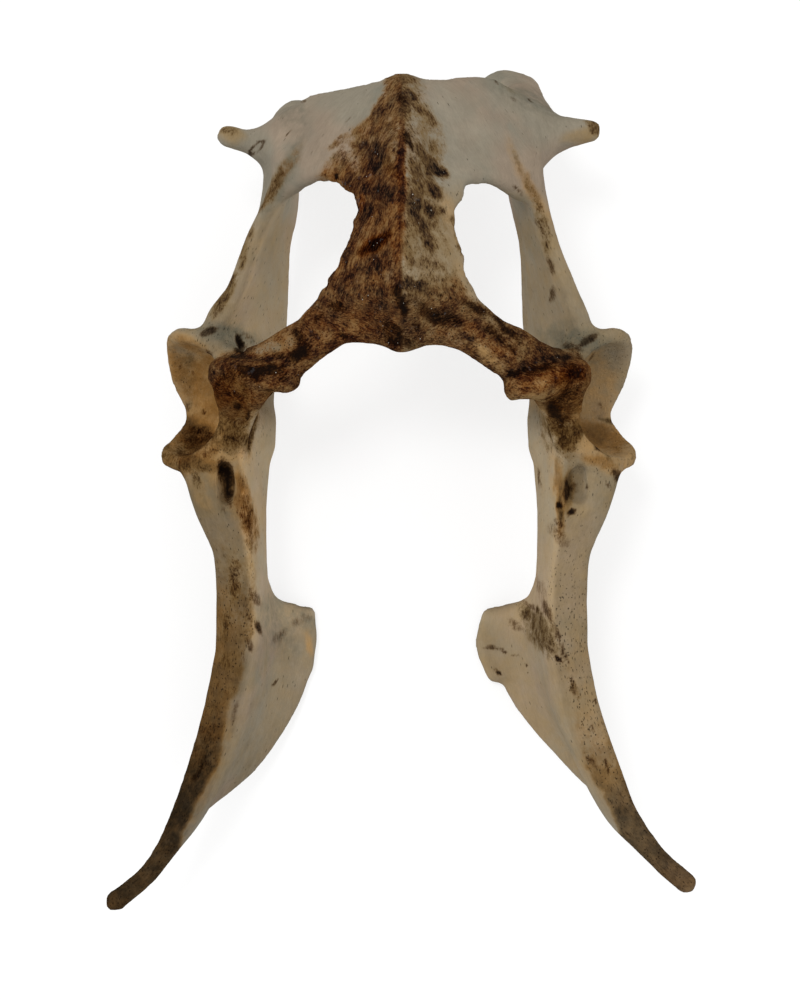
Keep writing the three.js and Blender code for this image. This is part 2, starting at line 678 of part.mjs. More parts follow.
// Saw cuts between the bones: three meet in each socket, one is on the midline, one crosses the symphysis
function sawCuts() {
  const cuts = [];
  const turn = THREE.MathUtils.degToRad(SOCKET.tilt);
  // [degrees round the mouth, how far the cut reaches from the middle of the socket]
  const rays = [[92, 42], [222, 30], [318, 27]];
  for (const side of [-1, 1]) {
    const out = new THREE.Vector3(Math.cos(turn) * side, 0, Math.sin(turn));
    const back = new THREE.Vector3(Math.sin(turn) * side, 0, -Math.cos(turn));
    for (const [degrees, length] of rays) {
      const angle = THREE.MathUtils.degToRad(degrees);
      const along = new THREE.Vector3(0, Math.cos(angle), 0).addScaledVector(back, Math.sin(angle));
      const across = new THREE.Vector3().crossVectors(out, along);
      const middle = new THREE.Vector3(...SOCKET.centre[side > 0 ? 1 : 0]);
      middle.x *= side;
      middle.addScaledVector(along, length / 2 - KERF / 2).addScaledVector(out, -13);
      const place = new THREE.Matrix4().makeBasis(out, along, across).setPosition(middle);
      cuts.push(block([60, length, KERF], place));
    }
  }
  cuts.push(block([KERF, 100, 60], new THREE.Matrix4().makeTranslation(0, 80, 70)));
  cuts.push(block([50, KERF, 40], new THREE.Matrix4().makeTranslation(0, 62.5, 75)));
  return cuts;
}

for (const side of [-1, 1]) addSide(side);
for (const side of [-1, 1]) carveSide(side);
closePinches();
const skin = surfaceOf();
relax(skin, 3);
const whole = solid(thin(skin, TRIANGLES));
const floor = block([400, 400, 40], new THREE.Matrix4().makeTranslation(0, 0, -20));
const pieces = Manifold.difference([whole, floor, ...sawCuts()]).decompose();

const PALE = { color: 0xcbc0a6, roughness: 0.72 };
const TAN = { color: 0xa98f66, roughness: 0.7 };
const STAINED = { color: 0x6d5238, roughness: 0.62 };
// Names by where the middle of a bone lies: [name, least y, material]
const BONES = [
  ["ischium", 55, PALE],
  ["pubis", 20, STAINED],
  ["ilium", -200, TAN],
];

const { min, max } = whole.boundingBox();
const shift = [-(min[0] + max[0]) / 2, -(min[1] + max[1]) / 2, 0];
const pelvis = new THREE.Group();
pelvis.name = "deer_pelvis";
for (const piece of pieces) {
  const box = piece.boundingBox();
  const middle = box.min.map((v, i) => (v + box.max[i]) / 2);
  const [bone, , look] = BONES.find(([, least]) => middle[1] > least);
  const cut = shell(piece.translate(shift));
  const { points, faces } = thin(cut, Math.round(cut.faces.length * TRIM));
  points.forEach((point) => (point[2] = Math.max(point[2], 0)));
  const geometry = new THREE.BufferGeometry();
  geometry.setAttribute("position", new THREE.Float32BufferAttribute(points.flat(), 3));
  geometry.setIndex(faces.flat());
  geometry.computeVertexNormals();
  const mesh = new THREE.Mesh(geometry, new THREE.MeshStandardMaterial({ ...look, metalness: 0 }));
  mesh.name = `${middle[0] < 0 ? "left" : "right"}_${bone}`;
  pelvis.add(mesh);
}

export default pelvis;
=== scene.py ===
"""A dry, stained deer pelvis that lies on its back on a white floor.

The six bones of the frame are joined under one continuous skin, as they are in the adult animal. The skin is
sculpted with the ridges, pits and rough patches of real bone, and its finish follows masks of stain, and of
painted light and shade, that are worked out on the skin's own points.
"""
import logging
import math
from dataclasses import dataclass, field
from enum import Enum

import bmesh
import bpy
import numpy as np
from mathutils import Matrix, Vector


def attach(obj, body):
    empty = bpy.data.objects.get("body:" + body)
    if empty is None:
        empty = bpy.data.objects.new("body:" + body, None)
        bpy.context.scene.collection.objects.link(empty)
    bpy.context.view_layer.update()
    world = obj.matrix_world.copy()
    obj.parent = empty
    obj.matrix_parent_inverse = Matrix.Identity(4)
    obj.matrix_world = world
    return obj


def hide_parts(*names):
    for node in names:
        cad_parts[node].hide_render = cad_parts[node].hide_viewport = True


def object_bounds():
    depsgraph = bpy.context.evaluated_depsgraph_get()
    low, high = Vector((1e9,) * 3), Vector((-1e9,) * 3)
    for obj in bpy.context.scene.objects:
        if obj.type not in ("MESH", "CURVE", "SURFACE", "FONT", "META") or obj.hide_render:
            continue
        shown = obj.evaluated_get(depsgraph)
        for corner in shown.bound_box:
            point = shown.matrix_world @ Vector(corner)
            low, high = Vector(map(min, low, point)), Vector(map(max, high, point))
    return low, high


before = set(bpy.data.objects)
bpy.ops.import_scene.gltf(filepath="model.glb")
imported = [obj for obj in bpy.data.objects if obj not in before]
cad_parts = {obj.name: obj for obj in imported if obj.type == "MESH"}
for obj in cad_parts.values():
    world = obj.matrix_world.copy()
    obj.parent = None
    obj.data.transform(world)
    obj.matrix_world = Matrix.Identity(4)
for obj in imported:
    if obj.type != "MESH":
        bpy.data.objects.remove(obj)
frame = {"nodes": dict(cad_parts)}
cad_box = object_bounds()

logging.basicConfig(level=logging.INFO, format="%(levelname)s %(message)s")
log = logging.getLogger("pelvis")

MM = 0.001
MIDLINE = np.array([0.108, -4.748, 0.0])  # where the bone's own origin lies in the frame, in mm
CAMERA_HEIGHT = 600.0  # above the floor, in mm
Array = np.ndarray
Point = tuple[float, float, float]
Ramp = tuple[Point, Point, Point, Point]


class Mask(Enum):
    """What the finish reads from the skin's points."""

    STAIN = "stain"
    RED = "red"
    DARK = "dark"
    OCHRE = "ochre"
    # soaked-in brown, and painted shade in the sockets
    SOAK_AND_SHADE = "soak_and_shade"
    # painted light and shade, which lightens or darkens the bare bone's colour
    PAINTED_LIGHT_AND_SHADE = "painted_light_and_shade"
    TAN = "tan"
    MOSS = "moss"
    HOLLOW = "hollow"
    SPECKS = "specks"
    ROUGH = "rough"


def fade(distance: Array, full: float, none: float) -> Array:
    """Goes smoothly from 1 at one distance to 0 at another.

    Args:
        distance: Distances to turn into amounts.
        full: Distance up to which the amount is 1.
        none: Distance from which it is 0.

    Returns:
        Amounts from 0 to 1.
    """
    t = np.clip((np.asarray(distance) - none) / (full - none), 0.0, 1.0)
    return t * t * (3.0 - 2.0 * t)


def to_line(points: Array, line: list[Point]) -> Array:
    """Measures how far points lie from a bent line.

    Args:
        points: Points, one a row.
        line: Corners of the line.

    Returns:
        The distance of each point.
    """
    corners = np.array(line, float)
    best = np.full(len(points), np.inf)
    for a, b in zip(corners, corners[1:]):
        t = np.clip((points - a) @ (b - a) / np.sum((b - a) ** 2), 0.0, 1.0)
        best = np.minimum(best, np.linalg.norm(points - a - t[:, None] * (b - a), axis=1))
    return best


class Noise:
    """Smooth noise on a repeating lattice of seeded values."""

    def __init__(self, seed: int, lattice: int = 32) -> None:
        """Fills the lattice with values from −1 to 1."""
        self.lattice = lattice
        self.values = np.random.default_rng(seed).uniform(-1.0, 1.0, (lattice,) * 3)

    def single(self, points: Array, size: float) -> Array:
        """Gives one layer of noise at points, with lumps of a given size.

        Args:
            points: Points in mm.
            size: Size of the lumps in mm.

        Returns:
            Noise from −1 to 1.
        """
        scaled = points / size
        cell = np.floor(scaled).astype(int)
        t = scaled - cell
        t = t * t * (3.0 - 2.0 * t)
        total = np.zeros(len(points))
        for corner in range(8):
            bits = np.array([corner & 1, corner >> 1 & 1, corner >> 2])
            i, j, k = ((cell + bits) % self.lattice).T
            weight = np.where(bits, t, 1.0 - t).prod(axis=1)
            total += weight * self.values[i, j, k]
        return total

    def at(self, points: Array, size: float, layers: int = 3) -> Array:
        """Sums layers of noise, each half as large and half as strong as the one before.

        Args:
            points: Points in mm.
            size: Size of the largest lumps in mm.
            layers: How many layers to sum.

        Returns:
            Noise of about −1 to 1.
        """
        total = np.zeros(len(points))
        for layer in range(layers):
            total += self.single(points + 7.3 * layer, size / 2**layer) * 0.5**layer
        return total / (2.0 - 0.5 ** (layers - 1))


@dataclass(frozen=True)
class Spot:
    """A patch on the bone: of colour, or of depth where it is a dent.

    x is from the midline, y towards the tail and z up, in mm; turn is in degrees, anticlockwise from above. An amount
    less than 0 takes colour away, or raises a knob.
    """

    mask: Mask
    x: float
    y: float
    z: float
    wide: float
    long: float
    turn: float = 0.0
    amount: float = 1.0
    ring: bool = False

    def shade(self, points: Array) -> Array:
        """Gives the patch's amount at points, full at its middle and none past its edge.

        Args:
            points: Points in mm from the bone's own origin.

        Returns:
            The amount at each point.
        """
        angle = math.radians(self.turn)
        away = points - (self.x, self.y, self.z)
        across = away[:, 0] * math.cos(angle) + away[:, 1] * math.sin(angle)
        along = away[:, 1] * math.cos(angle) - away[:, 0] * math.sin(angle)
        deep = away[:, 2] / (2.0 * max(self.wide, self.long) + 6.0)
        reach = np.sqrt((across / self.wide) ** 2 + (along / self.long) ** 2 + deep**2)
        if self.ring:
            return self.amount * fade(np.abs(reach - 1.0), 0.1, 0.5)
        return self.amount * fade(reach, 0.45, 1.6)


@dataclass(frozen=True)
class Stroke:
    """A stroke of colour placed over the photo, in pixels from the photo's upper left corner.

    It runs from (u1, v1) to (u2, v2) and reaches width to each side. An amount less than 0 takes colour away.
    """

    mask: Mask
    u1: float
    v1: float
    u2: float
    v2: float
    width: float
    amount: float
    ring: bool = False


def strokes(mask: Mask, *rows: tuple) -> list[Stroke]:
    """Gives strokes of one mask, each from its pixels, width and amount, with True after them for a ring."""
    return [Stroke(mask, *row) for row in rows]


class Photo:
    """Where the solids show in the photo, whose camera looks straight down."""

    MIDDLE_U = 402.0
    MIDDLE_V = 500.0
    FOCAL = 2055.0  # pixels that 1 mm spans, times its distance from the camera in mm
    RADII = (4.0, 7.0, 12.0, 25.0)  # how far from a stroke's middle the solids are looked for, in pixels

    def __init__(self, nodes: dict[str, bpy.types.Object]) -> None:
        """Finds the pixel of each corner of the solids and of the middle of each edge.

        Args:
            nodes: The frame's bones by name.
        """
        found = []
        for name in sorted(nodes):
            part = bmesh.new()
            part.from_mesh(nodes[name].data)
            bmesh.ops.remove_doubles(part, verts=part.verts, dist=1e-6)
            found += [vert.co.copy() for vert in part.verts]
            found += [(edge.verts[0].co + edge.verts[1].co) / 2.0 for edge in part.edges]
            part.free()
        points = np.array(found) / MM - MIDLINE
        self.height = points[:, 2]
        pixel = (CAMERA_HEIGHT - self.height) / self.FOCAL
        self.u = self.MIDDLE_U + points[:, 0] / pixel
        self.v = self.MIDDLE_V - points[:, 1] / pixel

    def spot(self, stroke: Stroke) -> Spot:
        """Gives the patch that a stroke makes on the bone.

        Args:
            stroke: The stroke in the photo.

        Returns:
            A patch at the height that the solids have near the middle of the stroke.
        """
        u, v = (stroke.u1 + stroke.u2) / 2.0, (stroke.v1 + stroke.v2) / 2.0
        away = np.hypot(self.u - u, self.v - v)
        radius = next(radius for radius in self.RADII if away.min() < radius)
        height = float(np.percentile(self.height[away < radius], 85))
        pixel = (CAMERA_HEIGHT - height) / self.FOCAL
        right, back = (stroke.u2 - stroke.u1) * pixel, (stroke.v1 - stroke.v2) * pixel
        return Spot(
            stroke.mask,
            x=(u - self.MIDDLE_U) * pixel,
            y=(self.MIDDLE_V - v) * pixel,
            z=height,
            wide=stroke.width * pixel,
            long=stroke.width * pixel + math.hypot(right, back) / 2.0,
            turn=math.degrees(math.atan2(-right, back)),
            amount=stroke.amount,
            ring=stroke.ring,
        )


# Each stroke was placed and judged; those of one mask are laid in this order
STROKES = [
    # keel and its left flank
    *strokes(Mask.STAIN, (386, 92, 372, 124, 6, 0.5), (374, 120, 352, 136, 6, 0.5), (350, 136, 330, 147, 5, 0.42),
             (401, 76, 404, 116, 9, 0.6), (401, 118, 400, 250, 4, 0.85), (380, 150, 376, 170, 10, 0.8),
             (365, 186, 396, 200, 10, 0.85), (366, 226, 392, 214, 8, -0.1), (350, 152, 362, 168, 9, -0.12),
             (364, 250, 384, 238, 8, 0.98), (347, 252, 345, 262, 6, 0.9), (353, 260, 364, 262, 7, -0.16),
             (378, 262, 368, 276, 6, 0.9), (378, 284, 398, 270, 7, -0.14), (338, 172, 358, 186, 6, 0.32)),
    *strokes(Mask.DARK, (401, 84, 404, 112, 5, 0.35), (405, 130, 411, 148, 4, 0.75), (337, 177, 338, 178, 2.2, 0.95),
             (358, 131, 357, 130, 1.6, 0.7), (346, 120, 350, 118, 1.2, 0.55)),
    *strokes(Mask.RED, (401, 118, 400, 262, 5, 0.9), (362, 196, 361, 210, 5, 1), (390, 170, 398, 290, 7, 0.7),
             (364, 250, 384, 238, 11, 1)),
    *strokes(Mask.SOAK_AND_SHADE, (364, 250, 384, 238, 8, 0.72), (386, 160, 396, 176, 6, 0.4)),
    *strokes(Mask.OCHRE, (350, 258, 366, 264, 9, 0.8), (338, 172, 358, 186, 6, 0.8)),
    # right flank of the keel
    *strokes(Mask.STAIN, (406, 88, 424, 112, 8, 0.55), (424, 112, 434, 126, 5, 0.42), (420, 152, 440, 172, 8, 0.6),
             (414, 168, 422, 190, 8, 0.62), (428, 180, 436, 194, 8, 0.6), (408, 196, 430, 210, 9, 0.7),
             (412, 212, 424, 232, 8, 0.66), (424, 236, 432, 246, 7, 0.62), (438, 206, 446, 220, 6, 0.3),
             (452, 218, 460, 234, 5, 0.4), (460, 246, 464, 252, 3, 0.5), (406, 240, 412, 268, 5, 0.6),
             (426, 262, 446, 272, 5, 0.4), (404, 284, 440, 292, 8, 0.8), (440, 288, 470, 300, 6, 0.62)),
    *strokes(Mask.OCHRE, (440, 200, 462, 232, 8, 0.45), (456, 222, 466, 250, 5, 0.35), (456, 266, 474, 300, 6, 0.2)),
    *strokes(Mask.DARK, (440, 294, 442, 294, 1.5, 0.8), (453, 286, 454, 287, 1.4, 0.9)),
    # middle of the cranial edge
    *strokes(Mask.DARK, (397, 292, 403, 304, 6, 0.8), (402, 304, 404, 312, 4, 1), (424, 312, 444, 322, 7, 0.65),
             (388, 326, 400, 334, 6, 0.6), (390, 338, 412, 342, 6, 0.7), (408, 296, 426, 310, 7, 0.5),
             (414, 326, 418, 326, 3, 0.6)),
    *strokes(Mask.STAIN, (396, 310, 420, 330, 14, 0.7)),
    *strokes(Mask.MOSS, (388, 338, 414, 344, 8, 0.6)),
    # left ramus
    *strokes(Mask.OCHRE, (312, 352, 350, 330, 16, 0.6)),
    *strokes(Mask.RED, (300, 356, 330, 330, 22, 0.6)),
    *strokes(Mask.STAIN, (340, 316, 352, 322, 12, -0.12), (318, 340, 328, 336, 7, -0.2),
             (262, 354, 292, 346, 8, -0.3), (226, 374, 240, 396, 9, -0.12)),
    *strokes(Mask.DARK, (330, 304, 342, 308, 5, 0.6), (296, 330, 302, 340, 5, 0.7), (296, 356, 306, 350, 8, 0.85),
             (343, 334, 345, 336, 3, 0.8), (316, 320, 322, 314, 3, 0.5), (272, 352, 284, 358, 4, 0.5)),
    *strokes(Mask.MOSS, (262, 354, 300, 345, 7, 0.35)),
    # left eminence
    *strokes(Mask.DARK, (244, 370, 256, 376, 8, 0.7), (256, 370, 278, 370, 6, 0.85), (280, 380, 286, 376, 4, 0.5),
             (262, 396, 276, 390, 4, 0.45), (245, 404, 248, 406, 3, 0.85), (232, 438, 233, 440, 3, 0.6),
             (224, 408, 226, 410, 2, 0.6), (246, 418, 252, 412, 2, 0.8)),
    *strokes(Mask.STAIN, (238, 366, 292, 384, 10, 0.72), (212, 376, 240, 402, 10, 0.5)),
    *strokes(Mask.RED, (214, 360, 296, 388, 18, 0.55)),
    *strokes(Mask.OCHRE, (214, 384, 240, 400, 14, 0.85), (222, 410, 240, 450, 14, 0.5)),
    # right ramus
    *strokes(Mask.RED, (440, 330, 520, 372, 20, 0.45), (452, 318, 520, 366, 9, 0.7)),
    *strokes(Mask.DARK, (464, 304, 486, 312, 4, 0.75), (440, 312, 462, 322, 6, 0.45), (492, 316, 520, 342, 3.5, 0.75),
             (488, 328, 504, 340, 5, 0.6), (505, 344, 515, 352, 4, 0.5), (510, 376, 518, 372, 3, 0.95),
             (543, 382, 548, 388, 4, 0.6)),
    *strokes(Mask.STAIN, (434, 312, 466, 326, 11, 0.78), (460, 334, 474, 342, 4, 0.9), (478, 350, 500, 368, 6, -0.28),
             (494, 340, 502, 350, 5, -0.15)),
    *strokes(Mask.OCHRE, (476, 350, 500, 372, 8, 1)),
    # right eminence
    *strokes(Mask.OCHRE, (512, 388, 584, 404, 14, 0.95), (572, 404, 578, 436, 6, 0.8)),
    *strokes(Mask.RED, (510, 388, 580, 372, 16, 0.95), (176, 458, 214, 452, 6, 0.4)),
    *strokes(Mask.DARK, (520, 372, 556, 366, 5, 0.55), (540, 376, 546, 392, 4, 0.6), (572, 368, 580, 376, 5, 0.6),
             (549, 404, 560, 420, 7, 0.8), (546, 402, 552, 404, 6, 0.6), (560, 420, 558, 428, 5, 0.45)),
    *strokes(Mask.SOAK_AND_SHADE, (557, 414, 570, 452, 9, 0.5), (200, 780, 186, 812, 10, 0.25), (612, 778, 626, 812, 9, 0.25)),
    *strokes(Mask.STAIN, (557, 414, 568, 450, 8, 0.3), (588, 438, 616, 464, 4, 0.28), (176, 458, 214, 453, 5, 0.25),
             (572, 404, 576, 430, 4, 0.42)),
    # between the sockets and the ischia
    *strokes(Mask.DARK, (238, 336, 241, 348, 3.2, 1), (236, 350, 243, 351, 3, 0.8), (205, 334, 214, 330, 4, 0.7),
             (246, 334, 252, 338, 3, 0.45), (209, 352, 212, 354, 3, 0.6), (582, 344, 594, 336, 4, 0.75),
             (566, 344, 580, 350, 4, 0.6), (554, 346, 560, 350, 3, 0.6), (590, 360, 594, 354, 1.8, 0.5),
             (578, 356, 584, 360, 3, 0.5)),
    *strokes(Mask.MOSS, (214, 332, 252, 342, 12, 0.85), (560, 336, 600, 352, 16, 0.8)),
    *strokes(Mask.OCHRE, (176, 338, 204, 352, 8, 0.6)),
    *strokes(Mask.SOAK_AND_SHADE, (176, 338, 204, 350, 7, 0.35)),
    # sockets; the dark cranial parts of both cups are partly painted shade, laid with soak, red and stain
    *strokes(Mask.OCHRE, (172, 350, 196, 420, 12, 0.6), (200, 352, 206, 380, 6, 0.7), (180, 462, 232, 456, 8, 0.8),
             (596, 400, 600, 380, 14, 0.35), (590, 460, 630, 466, 5, 0.6)),
    *strokes(Mask.SOAK_AND_SHADE, (172, 346, 186, 396, 9, 0.42), (190, 362, 198, 394, 11, 0.5), (178, 424, 212, 444, 17, 0.8),
             (168, 456, 214, 466, 9, 0.6), (590, 432, 612, 440, 14, 0.62), (588, 458, 616, 466, 6, 0.5)),
    *strokes(Mask.RED, (178, 424, 212, 444, 15, 0.5)),
    *strokes(Mask.STAIN, (184, 430, 208, 440, 12, 0.3), (180, 414, 192, 404, 4, 0.3), (180, 466, 214, 468, 5, 0.35),
             (600, 418, 612, 424, 3, 0.45)),
    *strokes(Mask.DARK, (204, 410, 206, 414, 2, 0.6), (178, 365, 180, 368, 1.6, 0.55), (192, 372, 193, 374, 1.2, 0.5),
             (596, 446, 600, 450, 3, 0.8), (588, 433, 590, 440, 1.4, 0.6), (601, 404, 602, 408, 1.2, 0.6),
             (614, 474, 620, 478, 5, 0.7), (607, 484, 612, 488, 3, 0.4)),
    # pits of the rectus muscle
    *strokes(Mask.DARK, (225, 466, 228, 484, 7, 1), (226, 482, 229, 495, 6, 0.9), (228, 498, 232, 506, 3, 0.6),
             (224, 506, 226, 512, 2, 0.4), (567, 480, 567, 502, 2.6, 0.75), (574, 484, 576, 490, 4, 0.4),
             (558, 505, 562, 507, 2.2, 0.95), (570, 513, 576, 510, 2.2, 0.85), (557, 520, 562, 526, 3, 0.6),
             (585, 485, 589, 489, 1.2, 0.6), (247, 500, 251, 536, 1.4, 0.5), (249, 520, 252, 556, 2, 0.4),
             (552, 528, 566, 544, 6, 0.4), (538, 470, 539, 486, 2, 0.55)),
    *strokes(Mask.MOSS, (226, 498, 229, 512, 8, 0.5)),
    *strokes(Mask.OCHRE, (216, 462, 240, 506, 14, 0.7), (238, 470, 243, 500, 3, 0.9), (240, 474, 248, 540, 7, 0.35),
             (234, 474, 246, 536, 8, 0.3), (186, 466, 206, 500, 8, 0.5), (555, 460, 562, 520, 5, 0.35)),
    *strokes(Mask.RED, (222, 470, 230, 500, 7, 1), (241, 482, 252, 540, 8, 0.55)),
    *strokes(Mask.SOAK_AND_SHADE, (570, 474, 569, 504, 6, 0.75), (241, 476, 252, 545, 8, 0.48), (556, 460, 560, 530, 4, 0.7)),
    *strokes(Mask.STAIN, (242, 486, 251, 544, 8, 0.3), (192, 470, 200, 490, 5, 0.4), (557, 490, 560, 526, 3, 0.35)),
    # left ilium
    *strokes(Mask.STAIN, (237, 560, 233, 600, 6, 0.45), (229, 612, 228, 634, 6, 0.42), (226, 652, 227, 664, 5, 0.45)),
    *strokes(Mask.DARK, (227, 616, 230, 617, 2, 0.5), (256, 566, 262, 584, 2.2, 0.75), (252, 590, 258, 604, 4, 0.5),
             (258, 624, 261, 634, 2.6, 0.8), (249, 640, 252, 648, 3, 0.55), (243, 654, 246, 662, 3, 0.45),
             (247, 610, 252, 622, 2, 0.5), (276, 640, 284, 632, 5, 0.35), (296, 622, 308, 618, 6, 0.32),
             (272, 684, 277, 680, 2, 0.55), (238, 700, 232, 724, 2, 0.4), (194, 780, 202, 768, 3, 0.5)),
    *strokes(Mask.MOSS, (262, 596, 286, 640, 14, 0.5), (290, 614, 312, 624, 8, 0.5)),
    *strokes(Mask.OCHRE, (309, 636, 312, 652, 3, 0.6), (224, 600, 218, 640, 10, 0.5)),
    # right ilium
    *strokes(Mask.DARK, (538, 580, 544, 596, 4, 0.35), (544, 600, 552, 622, 4, 0.55), (524, 602, 546, 614, 3, 0.5),
             (512, 622, 520, 628, 4, 0.45), (553, 624, 560, 640, 2, 0.6), (552, 640, 552, 652, 2, 0.5),
             (556, 656, 560, 662, 2.4, 0.9), (560, 640, 568, 664, 2, 0.65), (568, 668, 576, 700, 1.8, 0.5),
             (588, 756, 596, 768, 2.2, 0.55), (604, 762, 608, 770, 2.4, 0.7), (487, 647, 500, 649, 2.4, 0.6),
             (502, 650, 506, 652, 2, 0.7), (513, 655, 518, 655, 1.6, 0.5), (497, 671, 500, 673, 2.2, 0.85),
             (525, 664, 526, 665, 1.2, 0.8), (526, 672, 527, 672, 1, 0.7), (595, 701, 596, 702, 1.4, 0.9),
             (590, 722, 592, 728, 1.6, 0.6), (574, 647, 575, 648, 1.3, 0.7)),
    *strokes(Mask.STAIN, (530, 614, 548, 646, 12, 0.42), (566, 676, 576, 696, 4, 0.45)),
    # table and tubers
    *strokes(Mask.DARK, (302, 101, 304, 102, 2.4, 0.45), (299, 112, 304, 117, 3, 0.3), (494, 78, 497, 82, 2.4, 0.4),
             (512, 97, 516, 101, 2, 0.35), (530, 94, 532, 98, 2.4, 0.6), (287, 133, 292, 131, 0.9, 0.7),
             (292, 131, 296, 132, 0.8, 0.5), (283, 143, 284, 144, 0.9, 0.5), (252, 150, 261, 144, 3.6, 0.62, True)),
    *strokes(Mask.MOSS, (288, 108, 300, 124, 14, 0.3), (500, 104, 560, 112, 18, 0.5)),
    *strokes(Mask.SOAK_AND_SHADE, (506, 86, 520, 92, 6, 0.3)),
    *strokes(Mask.TAN, (222, 130, 236, 136, 8, 0.9), (570, 138, 596, 134, 7, 0.9)),
    *strokes(Mask.STAIN, (222, 130, 232, 132, 5, 0.35), (590, 122, 598, 132, 6, 0.45)),
    # ischia
    *strokes(Mask.STAIN, (300, 152, 282, 180, 5, 0.26), (284, 170, 268, 200, 6, 0.36), (266, 196, 258, 212, 4, 0.4),
             (250, 232, 238, 276, 5, 0.42), (236, 276, 214, 312, 7, 0.5), (508, 148, 520, 172, 3.5, 0.3),
             (520, 172, 542, 206, 5, 0.24), (540, 206, 548, 250, 5, 0.36)),
    *strokes(Mask.SOAK_AND_SHADE, (300, 152, 282, 180, 7, 0.3), (284, 170, 268, 200, 8, 0.4), (520, 172, 542, 206, 7, 0.4)),
    *strokes(Mask.MOSS, (298, 150, 268, 204, 8, 0.6)),
    *strokes(Mask.DARK, (300, 148, 270, 192, 1.6, 0.35), (262, 206, 263, 212, 1.4, 0.5), (222, 306, 216, 314, 4, 0.4),
             (514, 188, 520, 192, 2.4, 0.6), (536, 218, 548, 246, 2.4, 0.4), (549, 260, 554, 272, 3, 0.6),
             (552, 290, 553, 300, 3, 0.5)),
    *strokes(Mask.OCHRE, (508, 148, 522, 180, 5, 0.25), (522, 178, 546, 212, 7, 0.4)),
]
# Hollows pressed into the bone and small knobs raised on it; the amount is their depth in mm, less than 0 for a knob
DENTS = [
    Spot(Mask.HOLLOW, -47.2, 4.8, 46, 2.0, 5.2, 5, 1.1),
    Spot(Mask.HOLLOW, 45.4, 2.6, 45, 1.7, 5.6, 0, 1.2),
    Spot(Mask.HOLLOW, -43.2, 42.6, 52, 1.1, 2.8, 5, 1.4),
    Spot(Mask.HOLLOW, -30.2, 31.0, 60, 2.6, 2.4, 0, -0.7),
    Spot(Mask.HOLLOW, 30.4, 30.6, 60, 2.4, 2.4, 0, -0.5),
    Spot(Mask.HOLLOW, -36.5, 34.0, 60, 5.0, 1.4, -8, 0.5),
    Spot(Mask.HOLLOW, 15.9, 65.7, 60, 1.1, 1.1, 0, -1.5),
    Spot(Mask.HOLLOW, 0.2, 50.4, 76, 1.1, 1.6, 0, 0.7),
    Spot(Mask.HOLLOW, 1.6, 46.6, 73, 1.6, 1.2, 0, 0.5),
    Spot(Mask.HOLLOW, 29.7, 32.6, 60, 1.1, 0.7, 10, 0.5),
    Spot(Mask.HOLLOW, -44.0, 24.8, 50, 1.2, 0.9, 0, 0.5),
    Spot(Mask.HOLLOW, 34.4, 109.0, 46, 1.0, 1.3, 0, 0.5),
    Spot(Mask.HOLLOW, 27.2, -48.8, 8, 0.8, 0.8, 0, 0.4),
]


class Surface:
    """The skin's points, in mm from the bone's own origin, and what is worked out from them."""

    def __init__(self, mesh: bpy.types.Mesh) -> None:
        """Reads the points and edges of a mesh.

        Args:
            mesh: The mesh that is read now and written back later.
        """
        self.mesh = mesh
        flat = np.empty(len(mesh.vertices) * 3)
        mesh.vertices.foreach_get("co", flat)
        self.points = flat.reshape(-1, 3) / MM - MIDLINE
        ends = np.empty(len(mesh.edges) * 2, int)
        mesh.edges.foreach_get("vertices", ends)
        self.ends = ends.reshape(-1, 2)
        self.near = np.bincount(ends, minlength=len(self.points)).astype(float)

    def mean(self, values: Array) -> Array:
        """Gives the mean of each point's neighbours, for one value or one row of values a point.

        Args:
            values: One value or one row of values a point.

        Returns:
            The means, in the same form.
        """
        if values.ndim == 2:
            return np.stack([self.mean(column) for column in values.T], axis=1)
        a, b = self.ends.T
        count = len(values)
        total = np.bincount(a, values[b], count) + np.bincount(b, values[a], count)
        return total / self.near

    def smoothed(self, values: Array, passes: int) -> Array:
        """Gives values spread over the surface by repeated means.

        Args:
            values: One value or one row of values a point.
            passes: How many times the means are taken.

        Returns:
            The values, in the same form.
        """
        for _ in range(passes):
            values = (values + self.mean(values)) / 2.0
        return values

    def relax(self, passes: int) -> None:
        """Evens out the points, with a step back after each step so that the bone keeps its size.

        Args:
            passes: How many steps there are of each kind.
        """
        for step in range(passes * 2):
            weight = -0.53 if step % 2 else 0.5
            self.points = self.points + weight * (self.mean(self.points) - self.points)

    def half(self) -> Array:
        """Gives the points with both sides of the bone laid on its right side.

        Returns:
            A copy of the points, whose x is never less than 0.
        """
        half = self.points.copy()
        half[:, 0] = np.abs(half[:, 0])
        return half

    def write(self) -> None:
        """Puts the points back in the mesh."""
        self.mesh.vertices.foreach_set("co", ((self.points + MIDLINE) * MM).ravel())
        self.mesh.update()

    def normals(self) -> Array:
        """Gives the outward direction at each point.

        Returns:
            One unit vector a point.
        """
        self.write()
        flat = np.empty(len(self.points) * 3)
        self.mesh.vertices.foreach_get("normal", flat)
        return flat.reshape(-1, 3)

    def swell(self, amount: Array | float) -> None:
        """Moves each point outwards by an amount in mm, or inwards if it is less than 0."""
        self.points = self.points + self.normals() * np.reshape(amount, (-1, 1))

    def hollows(self, passes: int) -> Array:
        """Gives how far each point lies under the surface smoothed over it, in mm."""
        wide = self.smoothed(self.points, passes)
        return ((wide - self.points) * self.normals()).sum(axis=1)

    def store(self, name: str, values: Array) -> None:
        """Keeps one value, or one vector, a point as an attribute that the finish reads.

        Args:
            name: The attribute's name.
            values: One value, or one row of three, a point.
        """
        vector = values.ndim == 2
        layer = self.mesh.attributes.new(name, "FLOAT_VECTOR" if vector else "FLOAT", "POINT")
        layer.data.foreach_set("vector" if vector else "value", values.astype(np.float32).ravel())


